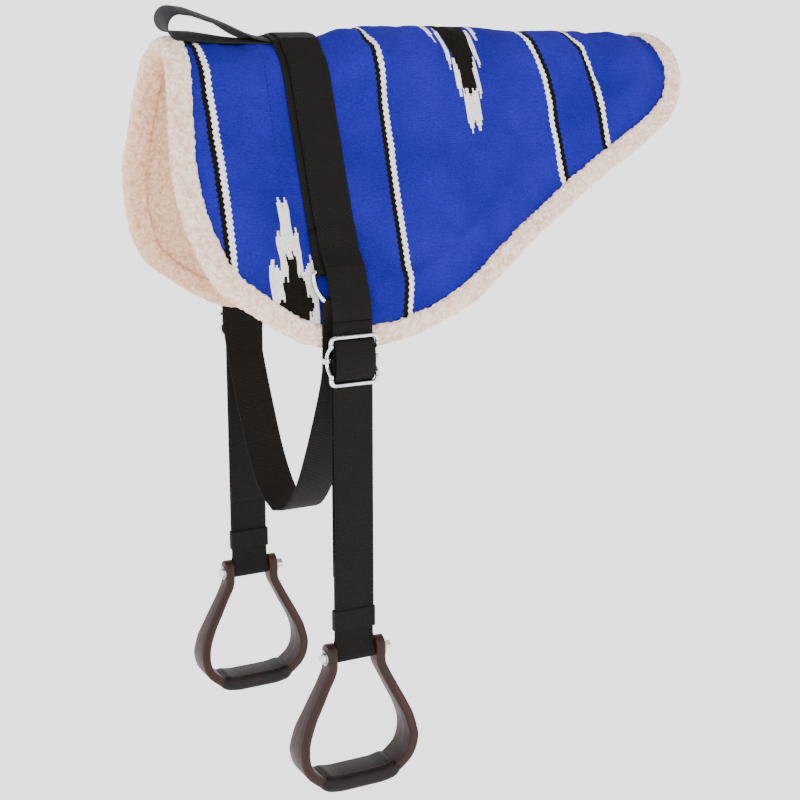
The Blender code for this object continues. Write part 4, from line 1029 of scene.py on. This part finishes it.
def bent_round(stations, side, edge, padded=False):
    """Rounded sections joined along the stirrup's bend, closed at both ends."""
    sections = []
    for i, (_, _, d) in enumerate(stations):
        over = padding_at(stations, i, 0.0, False) if padded else 0.0
        section = rounded(wood_thick / 2 + over, d / 2 + over * 0.8, edge, 5 if padded else 0)
        for p in section:
            p.x -= padding_at(stations, i, p.y, True) - over if padded and p.x < 0 else 0.0
        sections.append(section)
    count = len(sections[0])
    bm = flat_grid(len(stations) - 1, count)
    grain = bm.loops.layers.uv.new("grain")
    length = lengths_along([m for m, _, _ in stations])
    spots = {}
    for vert in bm.verts:
        i = round((vert.co.x + 1) / 2 * (len(stations) - 1))
        k = round((vert.co.y + 1) / 2 * count)
        middle, way, _ = stations[i]
        a, b = sections[i][k % count]
        place = middle + way * a
        spots[vert] = (length[i], k / count * 0.1)
        vert.co = (place.x, side * bolt_out + b, place.y - bolt_down)
    lay_map(bm, grain, spots)
    bmesh.ops.remove_doubles(bm, verts=bm.verts[:], dist=1e-6)
    bmesh.ops.holes_fill(bm, edges=[e for e in bm.edges if e.is_boundary], sides=0)
    bmesh.ops.recalc_face_normals(bm, faces=bm.faces[:])
    return bm


# Stained ash: dark red-brown stain that pools in the grain, and a dull oiled shine
stained_wood, tree, shader = new_material("stained_ash", Roughness=0.42, Specular_IOR_Level=0.28)
grain = add(tree, "UVMap", uv_map="grain")
drawn = add(tree, "Mapping", {"Vector": grain, "Scale": (9.0, 160.0, 1.0)})
streaky = {"Vector": drawn, "Scale": 1.0, "Detail": 6.0, "Roughness": 0.65, "Distortion": 0.4}
streaks = add(tree, "TexNoise", streaky)
pores = add(tree, "TexNoise", {"Vector": drawn, "Scale": 5.0, "Detail": 3.0, "Roughness": 0.7})
both = add(tree, "Math", {0: pores, 1: 0.4, 2: streaks}, operation="MULTIPLY_ADD")
stain = [(0.45, "#0E0301"), (0.72, "#260B05"), (0.92, "#431A0E")]
tint = add(tree, "ValToRGB", {"Fac": both}, stops=stain)
rough = add(tree, "MapRange", {0: pores, 1: 0.3, 2: 0.7, 3: 0.40, 4: 0.62})
bump = add(tree, "Bump", {"Strength": 0.25, "Distance": 0.0004, "Height": both})
feed(shader, {"Base Color": tint, "Roughness": rough, "Normal": bump})

# Tread leather: oiled and almost black, with brown showing through in soft blotches, matt and finely pebbled
leather, tree, shader = new_material("tread_leather", Roughness=0.55, Specular_IOR_Level=0.2)
place = add(tree, "TexCoord").outputs["Object"]
pebbles = add(tree, "TexVoronoi", {"Vector": place, "Scale": 620.0}, feature="DISTANCE_TO_EDGE")
blotch = add(tree, "TexNoise", {"Vector": place, "Scale": 38.0, "Detail": 4.0})
tint = add(tree, "ValToRGB", {"Fac": blotch}, stops=[(0.3, "#0A0605"), (0.7, "#1A1110")])
bump = add(tree, "Bump", {"Strength": 0.35, "Distance": 0.0005, "Height": pebbles})
feed(shader, {"Base Color": tint, "Normal": bump})

tan_thread = bonded_thread("tan_thread", "#5A463C", 0.5, 0.3)

# Zinc plated steel of the sleeve and washers, with a faint brushed haze
zinc, tree, shader = new_material("zinc_plate", Metallic=1.0, Roughness=0.38)
place = add(tree, "TexCoord")
spangle = add(tree, "TexNoise", {"Vector": place.outputs["Object"], "Scale": 240.0, "Detail": 3.0})
tint = add(tree, "ValToRGB", {"Fac": spangle}, stops=[(0.3, "#9DA0A3"), (0.7, "#C6C9CC")])
feed(shader, {"Base Color": tint})

# The thread lies this proud of the leather. The lacing's thong crosses the foot from row to row.
proud, stitch_row, lace_row = 0.0002, 0.0155, 0.006
stitches, lacing = {"step": 0.0046, "thread": 0.0004}, {"step": 0.03, "thread": 0.0009, "share": 0.5}
for prefix, side in sides:
    stirrup = f"{prefix}_stirrup"
    wood = bent_round(both_halves(stirrup_stations()), side, 0.0024)
    solid = f"{prefix}_stirrup_frame"
    finished_piece(f"{prefix}_bent_wood", wood, stained_wood, "stained_wood", stirrup, solid, angle=50)
    under = [s for s in stirrup_stations(14) if s[0].x < tread_half and s[0].y < -stirrup_drop / 2]
    wrapped = both_halves(under)
    wrap = bent_round(wrapped, side, 0.006, padded=True)
    solid = f"{prefix}_tread_leather"
    finished_piece(f"{prefix}_tread_wrap", wrap, leather, "tread_leather", stirrup, solid, angle=50)

    def on_leather(k, deep, top):
        """A place on the leather at station k, this deep along the horse, on the tread's top or foot."""
        middle, way, _ = wrapped[k]
        over = wood_thick / 2 + padding_at(wrapped, k, deep, top) + proud
        place = middle - way * over if top else middle + way * over
        return Vector((place.x, side * bolt_out + deep, place.y - bolt_down))

    last = len(wrapped) - 1
    lines = [[on_leather(k, deep, True) for k in range(5, last - 4)] for deep in (-stitch_row, stitch_row)]
    lines += [[on_leather(k, deep / 1000, True) for deep in range(-15, 16, 3)] for k in (5, last - 5)]
    seam(f"{prefix}_tread_stitches", lines, tan_thread, "tread_leather", stirrup, **stitches)
    lines = []
    for deep in (-lace_row, lace_row):
        lines.append([on_leather(k, deep if (k // 5) % 2 else -deep, False) for k in range(10, last - 8, 5)])
    seam(f"{prefix}_tread_lacing", lines, leather, "tread_leather", stirrup, **lacing)
    for node in ("neck_bolt", "bolt_nut"):
        finish_solid(f"{prefix}_{node}", chrome)
    for node in ("spacer_sleeve", "head_washer", "nut_washer"):
        finish_solid(f"{prefix}_{node}", zinc)

# ----------------------------------------
# The studio: a pale floor that curves up all round, large soft lights, and the photograph's camera.

floor_z, floor_radius, wall_bend, wall_top = -0.97, 5, 4.0, 7
profile = [Vector((0, floor_z)), Vector((floor_radius, floor_z))]
profile += arc((floor_radius, floor_z + wall_bend), wall_bend, radians(-90), 0, 16)[1:]
profile += [Vector((floor_radius + wall_bend, wall_top))]
bm = flat_grid(64, len(profile) - 1)
for vert in bm.verts:
    out, z = profile[round((vert.co.y + 1) / 2 * (len(profile) - 1))]
    vert.co = (out * cos(pi * vert.co.x), out * sin(pi * vert.co.x), z)
bmesh.ops.remove_doubles(bm, verts=bm.verts[:], dist=1e-5)
bmesh.ops.recalc_face_normals(bm, faces=bm.faces[:])
if min(bm.faces, key=lambda f: f.calc_center_median().z).normal.z < 0:
    bmesh.ops.reverse_faces(bm, faces=bm.faces[:])
mesh = new_mesh("studio_floor", bm)
mesh.shade_smooth()
# Photographer's background paper: plain, matt and evenly lit, so that it casts a soft light all round
white = {"Base_Color": linear("#B4B4B4"), "Emission_Color": linear("#FFFFFF"), "Emission_Strength": 1.75}
paper, tree, shader = new_material("white_paper", Roughness=0.9, Specular_IOR_Level=0.0, **white)
mesh.materials.append(paper)
floor = in_scene("studio_floor", mesh)

world = bpy.data.worlds.new("studio")
world.use_nodes = True
world.node_tree.nodes["Background"].inputs[0].default_value = (1, 1, 1, 1)
world.node_tree.nodes["Background"].inputs[1].default_value = 0.3
bpy.context.scene.world = world

target = Vector((0.1, 0, -0.3))
lamps = (
    ("key", (-1.4, -2.0, 1.5), 1.3, 26), ("fill", (2.4, -1.6, 0.6), 2.0, 3), ("top", (0.2, 0.4, 2.4), 1.6, 16),
)
for name, place, size, power in lamps:
    lamp = bpy.data.lights.new(name, "AREA")
    lamp.size = size
    lamp.energy = power
    light = in_scene(name, lamp)
    light.location = place
    light.rotation_euler = (target - Vector(place)).to_track_quat("-Z", "Y").to_euler()

lens = bpy.data.cameras.new("camera")
lens.sensor_width = 36.0
lens.lens = 72.0
lens.clip_end = 60
camera = in_scene("camera", lens)
turn, tilt = radians(27.28), radians(13.85)
look = Vector((sin(turn) * cos(tilt), cos(turn) * cos(tilt), -sin(tilt)))
camera.location = (-0.7888, -1.8223, 0.0559)
camera.rotation_euler = look.to_track_quat("-Z", "Y").to_euler()
bpy.context.scene.camera = camera
